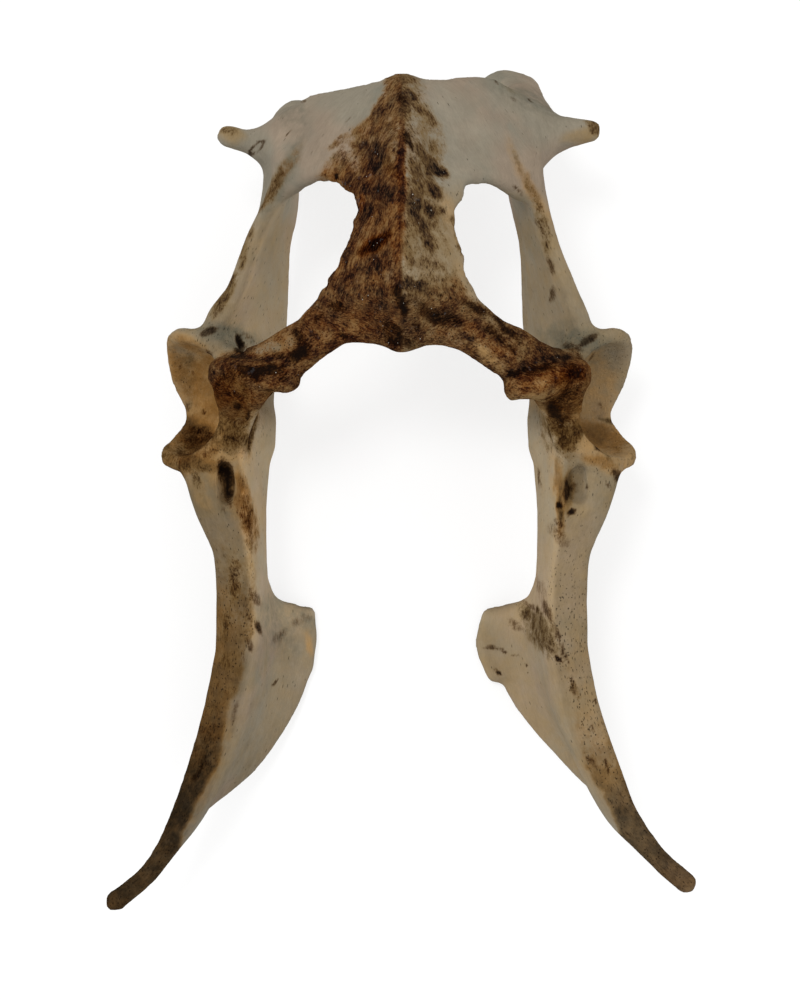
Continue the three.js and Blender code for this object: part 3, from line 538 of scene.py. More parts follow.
@dataclass
class Anatomy:
    """Where the bone's parts lie, in mm: x from the midline on either side, y to the tail, z up."""

    socket: Point = (56.5, 27.2, 37.5)
    socket_tilt: float = 27.0
    socket_radius: float = 15.4
    socket_offset: float = 3.0
    rim_radius: float = 18.0
    keel: list[Point] = field(
        default_factory=lambda: [(0, 42, 70), (0, 50, 78), (0, 60, 80.5), (0, 72, 79), (0, 90, 72), (0, 108, 63)]
    )
    ramus: list[Point] = field(
        default_factory=lambda: [(0, 46, 71), (10, 47, 68), (20, 43, 63), (30, 38, 59), (44, 32, 52)]
    )
    eminence: list[Point] = field(
        default_factory=lambda: [(50, 34, 54), (43, 33, 59), (36, 31.5, 61), (29.7, 30.5, 61)]
    )
    crest: list[Point] = field(
        default_factory=lambda: [
            (44, 14, 44),
            (46, -1, 43),
            (43.5, -15, 38),
            (42.5, -28, 36),
            (43, -43, 34),
            (46.5, -58, 32),
            (52, -74, 31),
            (58.5, -87, 30.5),
            (66, -97, 30),
            (78, -109, 31),
        ]
    )
    ischial_ridge: list[Point] = field(
        default_factory=lambda: [(50, 36, 44), (48.5, 46, 44), (44, 57, 46), (39, 71, 47), (34, 84, 48), (31, 93, 50)]
    )

    def ball(self) -> Array:
        """Gives the middle of the ball that sits in the socket.

        Returns:
            The middle in mm.
        """
        turn = math.radians(self.socket_tilt)
        out = np.array([math.cos(turn), 0.0, math.sin(turn)])
        return np.array(self.socket) + self.socket_offset * out


class Stains:
    """Works out the masks of the sculpted skin, one part of the bone after another."""

    def __init__(self, surface: Surface, anatomy: Anatomy, photo: Photo, seed: int) -> None:
        """Measures where each point lies, with a little noise so that no edge of a stain is a plain curve.

        Args:
            surface: The sculpted skin.
            anatomy: Where the bone's parts lie.
            photo: Where the solids show in the photo.
            seed: Seed of the noise.
        """
        self.surface, self.photo = surface, photo
        self.noise = Noise(seed)
        self.normals = surface.normals()
        self.points = surface.points.copy()
        half = self.wander(7.0, 2.2)
        half[:, 0] = np.abs(half[:, 0])
        self.left = self.points[:, 0] < 0.25 * self.noise.at(self.points, 5.0)
        self.x, self.y, self.z = half.T
        self.up = np.clip(self.normals[:, 2], -1, 1)
        self.upward = fade(-self.up, 0.1, 0.6)
        self.roof = fade(-self.z, -56, -50) * fade(-self.y, -38, -33)
        self.from_ramus = to_line(half, anatomy.ramus)
        self.from_eminence = to_line(half, anatomy.eminence)
        self.from_keel = to_line(half, anatomy.keel)
        self.plateau = fade(np.hypot((self.x - 45) / 6, (self.y - 24) / 12), 0.7, 1.3)
        from_ball = np.linalg.norm(half - anatomy.ball(), axis=1)
        self.from_rim = np.abs(from_ball - anatomy.rim_radius)
        self.from_lip = np.abs(from_ball - anatomy.socket_radius - 2.0)
        cup = fade(np.abs(from_ball - anatomy.socket_radius), 1.2, 3.5)
        tilt = math.radians(anatomy.socket_tilt)
        self.inside = cup * fade(self.x * math.cos(tilt) + self.z * math.sin(tilt), 62.0, 66.5)
        self.found = {mask: np.zeros(len(self.points)) for mask in Mask}

    def wander(self, size: float, reach: float) -> Array:
        """Gives the points moved by noise of a size, up to a reach in mm."""
        return self.points + reach * np.stack([self.noise.at(self.points + 31 * i, size) for i in range(3)], axis=1)

    def sides(self, left: Array | float, right: Array | float) -> Array:
        """Gives one value on the bone's left side and another on its right."""
        return np.where(self.left, left, right)

    def most(self, mask: Mask, amount: Array) -> None:
        """Raises a mask to an amount wherever it is less."""
        self.found[mask] = np.maximum(self.found[mask], amount)

    def pubes(self) -> None:
        """Stains both flanks of the keel, the left one as far as the foramen."""
        x, y = self.x, self.y
        wide = np.interp(y, [35, 46, 54, 78, 84, 92, 96, 99, 105, 112], [60, 40, 30, 30, 25, 19, 14, 10, 7, 3.5])
        narrow = np.interp(y, [35, 44, 49, 53, 90, 112], [60, 40, 18, 13, 10, 5])
        left = (0.5 + 0.14 * fade(y, 82, 92)) * fade(x, wide * 0.5, wide * 1.15)
        right = 0.3 * fade(x, narrow * 0.7, narrow * 1.5)
        self.flanks = self.roof * self.sides(left, right)
        self.most(Mask.STAIN, self.flanks * fade(-self.up, -0.25, 0.3))
        red = self.roof * self.sides(0.34 + 0.2 * fade(y, 82, 92), 0.06)
        self.most(Mask.RED, red * (1.0 + 0.35 * self.noise.at(self.points, 9.0, 2)))

    def rami(self) -> None:
        """Stains the rami, the eminences and the plateaus beside them."""
        patchy = 1.0 + 0.3 * self.noise.at(self.points, 11.0, 2)
        self.most(Mask.STAIN, 0.55 * patchy * fade(self.from_ramus, 6.0, 12.5))
        self.most(Mask.STAIN, self.sides(0.5, 0.36) * patchy * fade(self.from_eminence, 4.0, 9.5))
        self.most(Mask.STAIN, 0.5 * self.plateau)
        ruddy = self.sides(0.5, 0.36) * (1.0 + 0.6 * self.noise.at(self.points, 8.0, 2))
        self.most(Mask.RED, ruddy * fade(self.from_ramus, 6.0, 14.0))

    def sockets(self) -> None:
        """Yellows the sockets and browns their rims."""
        rim = fade(self.from_lip, 2.0, 4.5)
        self.most(Mask.OCHRE, self.inside * self.sides(0.9, 0.5))
        self.most(Mask.OCHRE, 0.6 * rim * fade(self.y, 20, 30))
        self.most(Mask.STAIN, self.sides(0.3, 0.14) * rim * self.upward * fade(self.y, 18, 34))
        self.found[Mask.STAIN] *= 1.0 - 0.8 * self.inside

    def shafts(self) -> None:
        """Soaks the outer edge of each shaft, darkest where the wing begins."""
        y = self.y
        shaft = [-112, -100, -90, -81, -73, -64, -55, -35, -10, 12]
        depth = self.sides(
            np.interp(y, shaft, [0.84, 0.84, 0.94, 1.0, 0.88, 0.74, 0.6, 0.45, 0.48, 0.55]),
            np.interp(y, shaft, [0.74, 0.8, 0.84, 0.74, 0.4, 0.24, 0.14, 0.08, 0.05, 0.1]),
        )
        edge = [-110, -97, -91, -81, -73, -64, -57, -46, -24, -1, 12]
        inner = np.interp(y, edge, [64, 64, 62, 56.5, 52, 50, 47.8, 44.5, 41, 44, 43])
        self.outer_edge = fade(-(self.x - inner), 0.5, 3.0)
        strip = fade(-y, 40, -12) * self.outer_edge * self.upward * fade(y, 14.0, 24.0)
        self.strip = strip
        lip = self.sides(0.42, 0.16) * fade(self.from_lip, 2.0, 6.0) * self.upward * fade(y, 18, 32)
        soak_and_shade = np.maximum(depth * strip, lip)
        # the soak inside the sockets, more on the left, is partly painted shade
        self.most(Mask.SOAK_AND_SHADE, soak_and_shade * (1.0 - self.inside) + self.sides(0.38, 0.1) * self.inside)
        self.most(Mask.SOAK_AND_SHADE, self.sides(0.5, 0.45) * self.plateau)
        self.most(Mask.STAIN, (0.12 + 0.18 * fade(-y, 66, 84)) * depth * strip)
        brown = strip * fade(-y, 62, 48)
        self.most(Mask.OCHRE, self.sides(0.35, 0.12) * brown)
        self.most(Mask.RED, 0.25 * brown)

    def painted_light_and_tan(self) -> None:
        """Makes the bone lighter or darker with painted light and shade, and warmer where it is tan."""
        x, y, z = self.x, self.y, self.z
        side_on = self.surface.smoothed(self.normals, 16)[:, 0] * np.sign(self.points[:, 0])
        inner_wall = fade(side_on, -0.75, -0.3)
        outer = fade(y, 0.0, 16.0) * (1.0 - inner_wall)
        wing = self.sides(
            np.interp(y, [-85, -76, -60, -46], [-0.14, -0.11, 0.03, 0.09]), np.interp(y, [-85, -46], [0.08, 0.2])
        )
        # painted light on the walls that face the midline, which get less light from above, and painted light and shade
        # on the wings' plates: lighter on the right, darker at the left wing's tip
        painted_light_and_shade = 0.5 + inner_wall * (0.42 * fade(np.abs(y + 8.0), 24.0, 34.0) + fade(y, -42.0, -32.0) * wing)
        # darkens the outer face of each shaft, most on the left
        painted_light_and_shade -= outer * self.sides(0.22 + 0.1 * fade(y, -84.0, -62.0), 0.05)
        # painted light on the inner walls of the ischia, more on the left
        painted_light_and_shade += self.sides(0.46, 0.18) * inner_wall * fade(-y, -40, -30) * fade(z, 56, 62)
        self.found[Mask.PAINTED_LIGHT_AND_SHADE] = painted_light_and_shade
        self.most(Mask.OCHRE, self.sides(0.4, 0.15) * outer * fade(-y, 40, 20) * fade(-x, -48, -44))

        self.table = fade(-y, -84, -74) * fade(-self.up, -0.1, 0.3)
        self.plate = fade(y, -18.0, -4.0) * (1.0 - self.outer_edge)
        upright = fade(-np.abs(self.normals[:, 0]), -0.6, -0.3) * fade(self.up, 0.3, 0.6)
        tan = 0.7 - 0.62 * self.table - 0.2 * upright - 0.1 * self.plate
        tan = tan + self.sides(-0.05, 0.1) * self.plate - 0.45 * fade(y, -92.0, -74.0)
        self.found[Mask.TAN] = tan

    def texture(self) -> None:
        """Says where the bone is porous, rough or hollow."""
        specks = 0.24 + 0.65 * fade(self.from_ramus, 6.0, 16.0) + 0.3 * self.roof * fade(self.from_keel, 6.0, 14.0)
        specks = np.maximum(specks, 0.85 * self.strip)
        specks = np.maximum(specks, 0.6 * fade(self.from_rim, 2.0, 12.0) * self.upward)
        specks = specks * (1.0 - 0.85 * self.inside)
        specks = specks * (1.0 - 0.8 * self.table * (1.0 - self.flanks)) * (1.0 - 0.8 * self.plate)
        self.found[Mask.SPECKS] = specks
        self.most(Mask.ROUGH, fade(self.from_eminence, 6.0, 14.0))
        self.most(Mask.ROUGH, 0.7 * fade(self.from_ramus, 5.0, 12.0))
        self.most(Mask.ROUGH, 0.8 * fade(self.from_rim, 3.0, 9.0) * self.upward)
        self.most(Mask.ROUGH, 0.7 * fade(self.y, -102.0, -88.0))
        fine = self.surface.smoothed(self.surface.hollows(6), 1)
        broad = self.surface.smoothed(self.surface.hollows(40), 4)
        self.found[Mask.HOLLOW] = 0.5 + 2.2 * fine + 0.32 * broad

    def strokes(self) -> None:
        """Lays the strokes over the masks, on what faces the photo's camera."""
        upwards = np.array([0.0, 0.0, CAMERA_HEIGHT]) - self.points
        upwards /= np.linalg.norm(upwards, axis=1, keepdims=True)
        facing = fade(-np.sum(self.normals * upwards, axis=1), 0.0, 0.3)
        ragged = self.wander(3.0, 0.9)
        for stroke in STROKES:
            shade = self.photo.spot(stroke).shade(self.points if stroke.ring else ragged) * facing
            if stroke.amount < 0:
                self.found[stroke.mask] += shade
            else:
                self.most(stroke.mask, shade)

    def masks(self) -> dict[Mask, Array]:
        """Gives each mask's amounts on the points, from 0 to 1.

        Returns:
            One array a mask.
        """
        self.pubes()
        self.rami()
        self.sockets()
        self.shafts()
        self.painted_light_and_tan()
        self.texture()
        stain = self.found[Mask.STAIN]
        stain += 0.06 * self.noise.at(self.points, 8.0) * (stain > 0.02)
        self.strokes()
        return {mask: np.clip(values, 0.0, 1.0) for mask, values in self.found.items()}


@dataclass
class Skin:
    """One continuous skin over the six bones, sculpted and masked."""

    anatomy: Anatomy
    voxel: float = 0.000875
    overlap: float = 0.00022
    seed: int = 11

    def join(self, nodes: dict[str, bpy.types.Object]) -> bpy.types.Mesh:
        """Joins the bones, each a little swollen so that the gaps between them close.

        Args:
            nodes: The frame's bones by name.

        Returns:
            A mesh of overlapping closed solids.
        """
        together = bmesh.new()
        for name in sorted(nodes):
            part = bmesh.new()
            part.from_mesh(nodes[name].data)
            bmesh.ops.remove_doubles(part, verts=part.verts, dist=1e-6)
            part.normal_update()
            for vert in part.verts:
                vert.co += vert.normal * self.overlap
            mesh = bpy.data.meshes.new(name + "_swollen")
            part.to_mesh(mesh)
            part.free()
            together.from_mesh(mesh)
            bpy.data.meshes.remove(mesh)
        joined = bpy.data.meshes.new("joined_bones")
        together.to_mesh(joined)
        together.free()
        return joined

    def remesh(self, joined: bpy.types.Mesh) -> bpy.types.Object:
        """Wraps the joined solids in one even skin of small quads.

        Args:
            joined: The overlapping solids, which are used up.

        Returns:
            The skin, as a new object.
        """
        holder = bpy.data.objects.new("bone_core", joined)
        bpy.context.scene.collection.objects.link(holder)
        wrap = holder.modifiers.new("wrap", "REMESH")
        wrap.mode = "VOXEL"
        wrap.voxel_size = self.voxel
        depsgraph = bpy.context.evaluated_depsgraph_get()
        mesh = bpy.data.meshes.new_from_object(holder.evaluated_get(depsgraph))
        mesh.name = "deer_pelvis"
        bpy.data.objects.remove(holder)
        bpy.data.meshes.remove(joined)
        piece = bpy.data.objects.new("deer_pelvis", mesh)
        bpy.context.scene.collection.objects.link(piece)
        return piece

    def sculpt(self, surface: Surface) -> None:
        """Adds the ridges, pits and rough patches of real bone.

        Args:
            surface: The bare skin.
        """
        surface.relax(6)
        surface.swell(-self.overlap / MM)
        self.soften(surface)
        surface.swell(self.relief(surface))

    def soften(self, surface: Surface) -> None:
        """Sharpens the crests a little, and rounds the crease under each tuber.

        Args:
            surface: The relaxed skin.
        """
        half = surface.half()
        tuber = fade(-half[:, 1], -98.0, -92.0) * fade(-half[:, 2], -16.0, -10.0) * fade(half[:, 0], 40.0, 46.0)
        crisp = np.clip(-0.9 * surface.smoothed(surface.hollows(14), 2), -0.5, 0.55)
        surface.swell(crisp * (1.0 - tuber))
        for _ in range(4):
            level = tuber * fade(-surface.normals()[:, 2], -0.3, 0.05)
            surface.swell(surface.smoothed(level * np.clip(surface.hollows(80), -0.28, 0.9), 3))

    def relief(self, surface: Surface) -> Array:
        """Works out the small forms.

        Args:
            surface: The softened skin.

        Returns:
            How far each point moves outwards, in mm.
        """
        noise = Noise(self.seed)
        a, points, half = self.anatomy, surface.points, surface.half()
        from_eminence = to_line(half, a.eminence)
        fine = noise.at(points, 2.4, 2)
        height = 0.10 * noise.at(points, 9.0)
        height += 0.75 * fade(to_line(half, a.keel), 0.2, 2.0)
        height += 0.50 * fade(from_eminence, 2.0, 8.0) * noise.at(points, 3.6)
        height += 0.22 * fade(from_eminence, 3.0, 9.0) * fine
        height += 0.22 * fade(to_line(half, a.ramus), 4.0, 12.0) * noise.at(points, 3.0)
        height += 0.30 * fade(to_line(half, a.crest), 0.4, 2.0)
        height += 0.30 * fade(to_line(half, a.ischial_ridge), 0.4, 2.2)
        rim = np.abs(np.linalg.norm(half - a.ball(), axis=1) - a.rim_radius)
        height += 0.14 * fade(rim, 1.0, 4.0) * fine
        upright = fade(np.abs(surface.normals()[:, 2]), 0.2, 0.8)
        web = fade(half[:, 0], 19.0, 23.0) * fade(-half[:, 2], -52.0, -48.0) * fade(np.abs(half[:, 1] - 68), 16.0, 20.0)
        height += web * upright * (1.1 * noise.at(points, 3.0, 2) + 0.3 * noise.at(points, 6.0, 1))
        for dent in DENTS:
            height -= dent.shade(points)
        return height

    def grain(self, surface: Surface) -> Array:
        """Gives each point a place, in metres, squeezed along the bone's fibres.

        Args:
            surface: The sculpted skin.

        Returns:
            One place a point.
        """
        x, y, z = surface.points.T
        side = np.where(x < 0, -1.0, 1.0)
        half = np.abs(x)
        shaft_y = [-110, -97, -87, -74, -58, -43, -24, -1, 30, 57, 84, 105]
        shaft = np.interp(y, shaft_y, [79, 67, 60, 55, 50, 47, 46.5, 52, 52, 44, 34, 30])
        roof = fade(-z, -58, -50) * fade(-y, -40, -34)
        ramus = fade(-z, -54, -50) * fade(y, 44, 52) * fade(-y, -26, -20)

        def slanted(angle: float, stretch: float) -> Array:
            """Gives places squeezed along a slant that mirrors at the midline.

            Args:
                angle: Turn of the slant from the long axis, in radians.
                stretch: How much longer the streaks are than wide.

            Returns:
                One place a point, in mm.
            """
            across = half * math.cos(angle) + y * math.sin(angle)
            along = y * math.cos(angle) - half * math.sin(angle)
            return np.stack([across * side, along / stretch, z], axis=1)

        mixed = np.stack([(half - shaft) * side, y / 4.0, z], axis=1)
        for part, place in ((roof, slanted(0.45, 4.0)), (ramus, slanted(1.2, 2.5))):
            mixed = mixed * (1 - part)[:, None] + place * part[:, None]
        return mixed * MM

    def build(self, nodes: dict[str, bpy.types.Object]) -> bpy.types.Object:
        """Makes the skin, hides the bones and hangs the skin on the root body.

        Args:
            nodes: The frame's bones by name.

        Returns:
            The finished piece.
        """
        piece = self.remesh(self.join(nodes))
        surface = Surface(piece.data)
        log.info("skin: %d points", len(surface.points))
        self.sculpt(surface)
        low, high = (np.array(corner) / MM - MIDLINE for corner in cad_box)
        surface.points = np.clip(surface.points, low, high)
        stains = Stains(surface, self.anatomy, Photo(nodes), self.seed + 1)
        for mask, values in stains.masks().items():
            surface.store(mask.value, values)
        surface.store("grain", self.grain(surface))
        surface.write()
        piece.data.shade_smooth()
        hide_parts(*sorted(nodes))
        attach(piece, "root")
        return piece


class Nodes:
    """A node tree, with short calls for adding and joining its nodes."""

    def __init__(self, tree: bpy.types.NodeTree) -> None:
        """Keeps the tree that the calls work on."""
        self.tree = tree

    def add(self, kind: str, inputs: dict | None = None, **settings: object) -> bpy.types.Node:
        """Adds a node.

        Args:
            kind: The node's type, without its ShaderNode prefix.
            inputs: Values or other nodes' outputs, by input name or number.
            settings: The node's own settings.

        Returns:
            The new node.
        """
        node = self.tree.nodes.new("ShaderNode" + kind)
        for name, value in settings.items():
            setattr(node, name, value)
        for name, value in (inputs or {}).items():
            if isinstance(value, bpy.types.NodeSocket):
                self.tree.links.new(value, node.inputs[name])
            else:
                node.inputs[name].default_value = value
        return node

    def math(self, operation: str, a: object, b: object = 0.0, clamp: bool = False) -> bpy.types.NodeSocket:
        """Gives the result of one sum on two values."""
        return self.add("Math", {0: a, 1: b}, operation=operation, use_clamp=clamp).outputs[0]

    def plus(self, a: object, b: object, clamp: bool = False) -> bpy.types.NodeSocket:
        """Gives the sum of two values."""
        return self.math("ADD", a, b, clamp)

    def minus(self, a: object, b: object) -> bpy.types.NodeSocket:
        """Gives one value less another."""
        return self.math("SUBTRACT", a, b)

    def times(self, a: object, b: object) -> bpy.types.NodeSocket:
        """Gives the product of two values."""
        return self.math("MULTIPLY", a, b)

    def swing(self, value: object, gain: object) -> bpy.types.NodeSocket:
        """Gives how far a value is from a half, times a gain."""
        return self.times(self.minus(value, 0.5), gain)

    def between(self, value: object, low: float, high: float) -> bpy.types.NodeSocket:
        """Gives 0 up to one value, 1 from another, and a smooth step between them."""
        node = self.add("MapRange", {0: value, 1: low, 2: high}, interpolation_type="SMOOTHSTEP")
        return node.outputs[0]

    def noise(self, place: object, scale: object, detail: float, roughness: float, distortion: float = 0.0) -> object:
        """Gives noise of about 0 to 1."""
        inputs = {"Vector": place, "Scale": scale, "Detail": detail, "Roughness": roughness, "Distortion": distortion}
        return self.add("TexNoise", inputs).outputs[0]

    def blend(self, amount: object, a: object, b: object, how: str = "MIX") -> bpy.types.NodeSocket:
        """Gives a mix of two colours."""
        node = self.add("Mix", {0: amount, 6: a, 7: b}, data_type="RGBA", blend_type=how)
        return node.outputs[2]

    def dim(self, colour: object, value: object) -> bpy.types.NodeSocket:
        """Gives a colour times a value."""
        return self.blend(1.0, colour, self.add("CombineColor", {0: value, 1: value, 2: value}).outputs[0], "MULTIPLY")

    def read(self, name: str, vector: bool = False) -> bpy.types.NodeSocket:
        """Gives an attribute of the piece."""
        node = self.add("Attribute", attribute_name=name)
        return node.outputs["Vector" if vector else "Fac"]


class Effect:
    """A shader node group with named inputs and one output."""

    def __init__(self, name: str, **inputs: float | None) -> None:
        """Makes the empty group.

        Args:
            name: The group's name.
            inputs: First value of each input, by name, or None for a vector.
        """
        self.tree = bpy.data.node_groups.new(name, "ShaderNodeTree")
        self.nodes = Nodes(self.tree)
        for label, value in inputs.items():
            kind = "NodeSocketVector" if value is None else "NodeSocketFloat"
            socket = self.tree.interface.new_socket(label, in_out="INPUT", socket_type=kind)
            if value is not None:
                socket.default_value = value
        self.tree.interface.new_socket("Fac", in_out="OUTPUT", socket_type="NodeSocketFloat")
        self.start = self.tree.nodes.new("NodeGroupInput").outputs
        self.end = self.tree.nodes.new("NodeGroupOutput").inputs

    def give(self, value: bpy.types.NodeSocket) -> None:
        """Joins a value to the group's output."""
        self.tree.links.new(value, self.end["Fac"])

    def place(self, nodes: Nodes, **inputs: object) -> bpy.types.NodeSocket:
        """Puts the group in a material.

        Args:
            nodes: The material's nodes.
            inputs: Values or other nodes' outputs, by input name.

        Returns:
            The group's output.
        """
        return nodes.add("Group", inputs, node_tree=self.tree).outputs[0]


def mottle_effect() -> Effect:
    """Makes the group that breaks a soft mask into the ragged blotches of a stain.

    Returns:
        The group.
    """
    effect = Effect("mottle", Vector=None, Mask=0.5, Scale=200.0, Ragged=0.6)
    n, start = effect.nodes, effect.start
    noise = n.noise(start["Vector"], start["Scale"], 5.0, 0.66)
    ragged = n.times(n.swing(noise, start["Ragged"]), 2.6)
    effect.give(n.plus(start["Mask"], n.times(ragged, n.between(start["Mask"], 0.0, 0.3)), clamp=True))
    return effect


def fibre_effect() -> Effect:
    """Makes the group for the fine streaks that run along the bone.

    Returns:
        The group.
    """
    effect = Effect("fibres", Vector=None, Scale=1500.0, Contrast=0.5)
    n, start = effect.nodes, effect.start
    noise = n.noise(start["Vector"], start["Scale"], 3.0, 0.6, 0.6)
    effect.give(n.plus(n.times(n.swing(noise, start["Contrast"]), 2.0), 0.5, clamp=True))
    return effect


def pore_effect() -> Effect:
    """Makes the group for round pores of mixed sizes, more of them where the amount is higher.

    Returns:
        The group.
    """
    effect = Effect("pores", Vector=None, Scale=900.0, Amount=0.5)
    n, start = effect.nodes, effect.start
    cells = n.add("TexVoronoi", {"Vector": start["Vector"], "Scale": start["Scale"]})
    chance = n.add("SeparateColor", {0: cells.outputs["Color"]}).outputs
    there = n.math("LESS_THAN", chance[0], n.times(start["Amount"], 0.6))
    size = n.plus(0.12, n.times(chance[1], 0.26))
    edge = n.minus(size, cells.outputs["Distance"])
    effect.give(n.times(n.math("MULTIPLY", edge, 12.0, clamp=True), there))
    return effect


@dataclass(frozen=True)
class BoneFinish:
    """Colours and roughness of the dry bone, each colour as it reflects light."""

    pale: Point = (0.202, 0.18, 0.138)
    rosy: Point = (0.224, 0.178, 0.133)
    cool: Point = (0.15, 0.148, 0.118)
    warm: Point = (0.218, 0.155, 0.08)
    moss: Point = (0.085, 0.082, 0.06)
    ochre: Point = (0.33, 0.19, 0.066)
    red_wash: Point = (0.17, 0.066, 0.015)
    brown_wash: Point = (0.17, 0.115, 0.055)
    red_stain: Ramp = ((0.21, 0.1, 0.028), (0.1, 0.032, 0.007), (0.03, 0.006, 0.002), (0.005, 0.002, 0.002))
    brown_stain: Ramp = ((0.15, 0.1, 0.045), (0.085, 0.05, 0.02), (0.034, 0.018, 0.009), (0.007, 0.005, 0.004))
    # soaked-in brown, also used for the painted shade in the sockets
    soak_and_shade_tint: Ramp = ((1.0, 0.96, 0.9), (0.7, 0.58, 0.42), (0.4, 0.33, 0.25), (0.14, 0.13, 0.12))
    # painted glints: the pale colour of tiny specks that stand in for wet highlights
    grit_and_glints: Point = (0.34, 0.31, 0.26)
    umber: Point = (0.42, 0.34, 0.28)
    black: Point = (0.006, 0.0035, 0.0025)
    roughness: float = 0.68
    coat_roughness: float = 0.14
    bump_height: float = 0.0006


class BoneMaterial:
    """The bone's material, built up in layers: bare bone with painted light and shade, stain, soaked-in brown with
    painted shade in the sockets, soot, and pores with a few painted glints.
    """

    def __init__(self, finish: BoneFinish) -> None:
        """Makes the patterns that several layers read.

        Args:
            finish: Colours and roughness.
        """
        self.finish = finish
        self.material = bpy.data.materials.new("dry_stained_bone")
        self.material.use_nodes = True
        self.n = n = Nodes(self.material.node_tree)
        self.mottle, self.pores = mottle_effect(), pore_effect()
        self.place = n.add("TexCoord").outputs["Object"]
        self.grain = n.read("grain", vector=True)
        fibres = fibre_effect()
        self.streak = fibres.place(n, Vector=self.grain, Scale=2000.0, Contrast=0.8)
        self.strand = fibres.place(n, Vector=self.grain, Scale=600.0, Contrast=0.6)
        self.cloud = n.noise(self.place, 110.0, 6.0, 0.62)
        self.middle = n.noise(self.place, 430.0, 4.0, 0.62)
        fine = n.noise(self.grain, 2100.0, 3.0, 0.75)
        sand = n.noise(self.place, 1900.0, 3.0, 0.7)
        both = n.minus(n.plus(n.times(fine, 0.9), n.times(sand, 0.5)), 0.7)
        self.fleck = n.plus(both, n.swing(self.streak, 0.3))

    def colour(self, point: Point) -> tuple[float, float, float, float]:
        """Gives a colour with its alpha."""
        return (*point, 1.0)

    def patch(self, mask: Mask, scale: float, ragged: float) -> bpy.types.NodeSocket:
        """Gives a mask broken into blotches."""
        return self.mottle.place(self.n, Vector=self.place, Mask=self.n.read(mask.value), Scale=scale, Ragged=ragged)

    def ramp(self, value: bpy.types.NodeSocket, points: Ramp) -> bpy.types.NodeSocket:
        """Gives a stain's colour as it gets thicker.

        Args:
            value: How thick the stain is, from 0 to 1.
            points: The four colours, from thin to thick.

        Returns:
            The colour's socket.
        """
        node = self.n.add("ValToRGB", {0: value})
        stops = node.color_ramp.elements
        stops[0].position, stops[0].color = 0.2, self.colour(points[0])
        stops[1].position, stops[1].color = 1.0, self.colour(points[3])
        for position, point in ((0.48, points[1]), (0.76, points[2])):
            stops.new(position).color = self.colour(point)
        return node.outputs[0]

    def bare(self) -> bpy.types.NodeSocket:
        """Gives the colour of the bone with no stain on it, with painted light and shade on its walls and wings.

        Returns:
            The colour's socket.
        """
        n, finish = self.n, self.finish
        drift = n.between(n.noise(self.place, 38.0, 3.0, 0.5), 0.42, 0.62)
        chill = n.between(n.noise(self.place, 62.0, 4.0, 0.55), 0.5, 0.68)
        base = n.blend(drift, self.colour(finish.pale), self.colour(finish.rosy))
        base = n.blend(n.times(chill, 0.7), base, self.colour(finish.cool))
        base = n.blend(self.patch(Mask.TAN, 120.0, 0.5), base, self.colour(finish.warm))
        base = n.blend(n.times(self.patch(Mask.MOSS, 420.0, 0.6), 0.85), base, self.colour(finish.moss))
        base = n.blend(n.times(self.patch(Mask.OCHRE, 260.0, 0.55), 0.8), base, self.colour(finish.ochre))
        shade = n.plus(n.times(self.cloud, 0.55), n.times(self.strand, 0.2))
        shade = n.plus(shade, n.times(self.streak, 0.22))
        # painted light and shade: lighter walls that face the midline and right wing, darker tip of the left wing
        shade = n.plus(n.plus(shade, n.swing(n.read("painted_light_and_shade"), 1.5)), 0.52)
        return n.dim(base, shade)

    def stain(self, base: bpy.types.NodeSocket) -> bpy.types.NodeSocket:
        """Lays the brown and red stain over a colour, and keeps how wide and thick it lies for other layers.

        Args:
            base: The colour under this layer.

        Returns:
            The colour's socket.
        """
        n, finish = self.n, self.finish
        amount = n.read("stain")
        hollow = n.times(n.between(n.read("hollow"), 0.5, 0.85), 0.3)
        pooled = n.plus(amount, n.times(hollow, n.between(amount, 0.05, 0.5)))
        self.wide = wide = self.mottle.place(n, Vector=self.place, Mask=pooled, Scale=240.0, Ragged=0.42)
        thick = n.plus(wide, n.swing(self.middle, 0.75))
        thick = n.plus(thick, n.swing(self.strand, 0.45))
        thick = n.plus(thick, n.swing(self.cloud, 1.1))
        self.thick = thick = n.plus(thick, n.times(self.fleck, 1.4), clamp=True)
        red = self.patch(Mask.RED, 300.0, 0.5)
        tint = n.blend(red, self.ramp(thick, finish.brown_stain), self.ramp(thick, finish.red_stain))
        loose = n.times(n.plus(self.fleck, n.swing(self.middle, 0.4)), 2.3)
        cover = n.plus(n.between(wide, 0.06, 0.6), n.times(loose, n.between(wide, 0.02, 0.25)), clamp=True)
        wash = n.blend(red, self.colour(finish.brown_wash), self.colour(finish.red_wash))
        wash = n.dim(wash, n.minus(1.3, n.times(wide, 1.1)))
        base = n.blend(n.times(n.between(wide, 0.06, 0.5), 0.9), base, wash)
        return n.blend(cover, base, tint)

    def soak_and_shade(self, base: bpy.types.NodeSocket) -> bpy.types.NodeSocket:
        """Darkens a colour where brown has soaked into the bone, and with painted shade in the cranial parts of the
        sockets.

        Args:
            base: The colour under this layer.

        Returns:
            The colour's socket.
        """
        n = self.n
        soak_and_shade = self.patch(Mask.SOAK_AND_SHADE, 200.0, 0.3)
        depth = n.plus(soak_and_shade, n.swing(self.middle, 0.4))
        depth = n.plus(depth, n.times(self.fleck, 0.35), clamp=True)
        return n.blend(n.between(soak_and_shade, 0.02, 0.3), base, self.ramp(depth, self.finish.soak_and_shade_tint), "MULTIPLY")

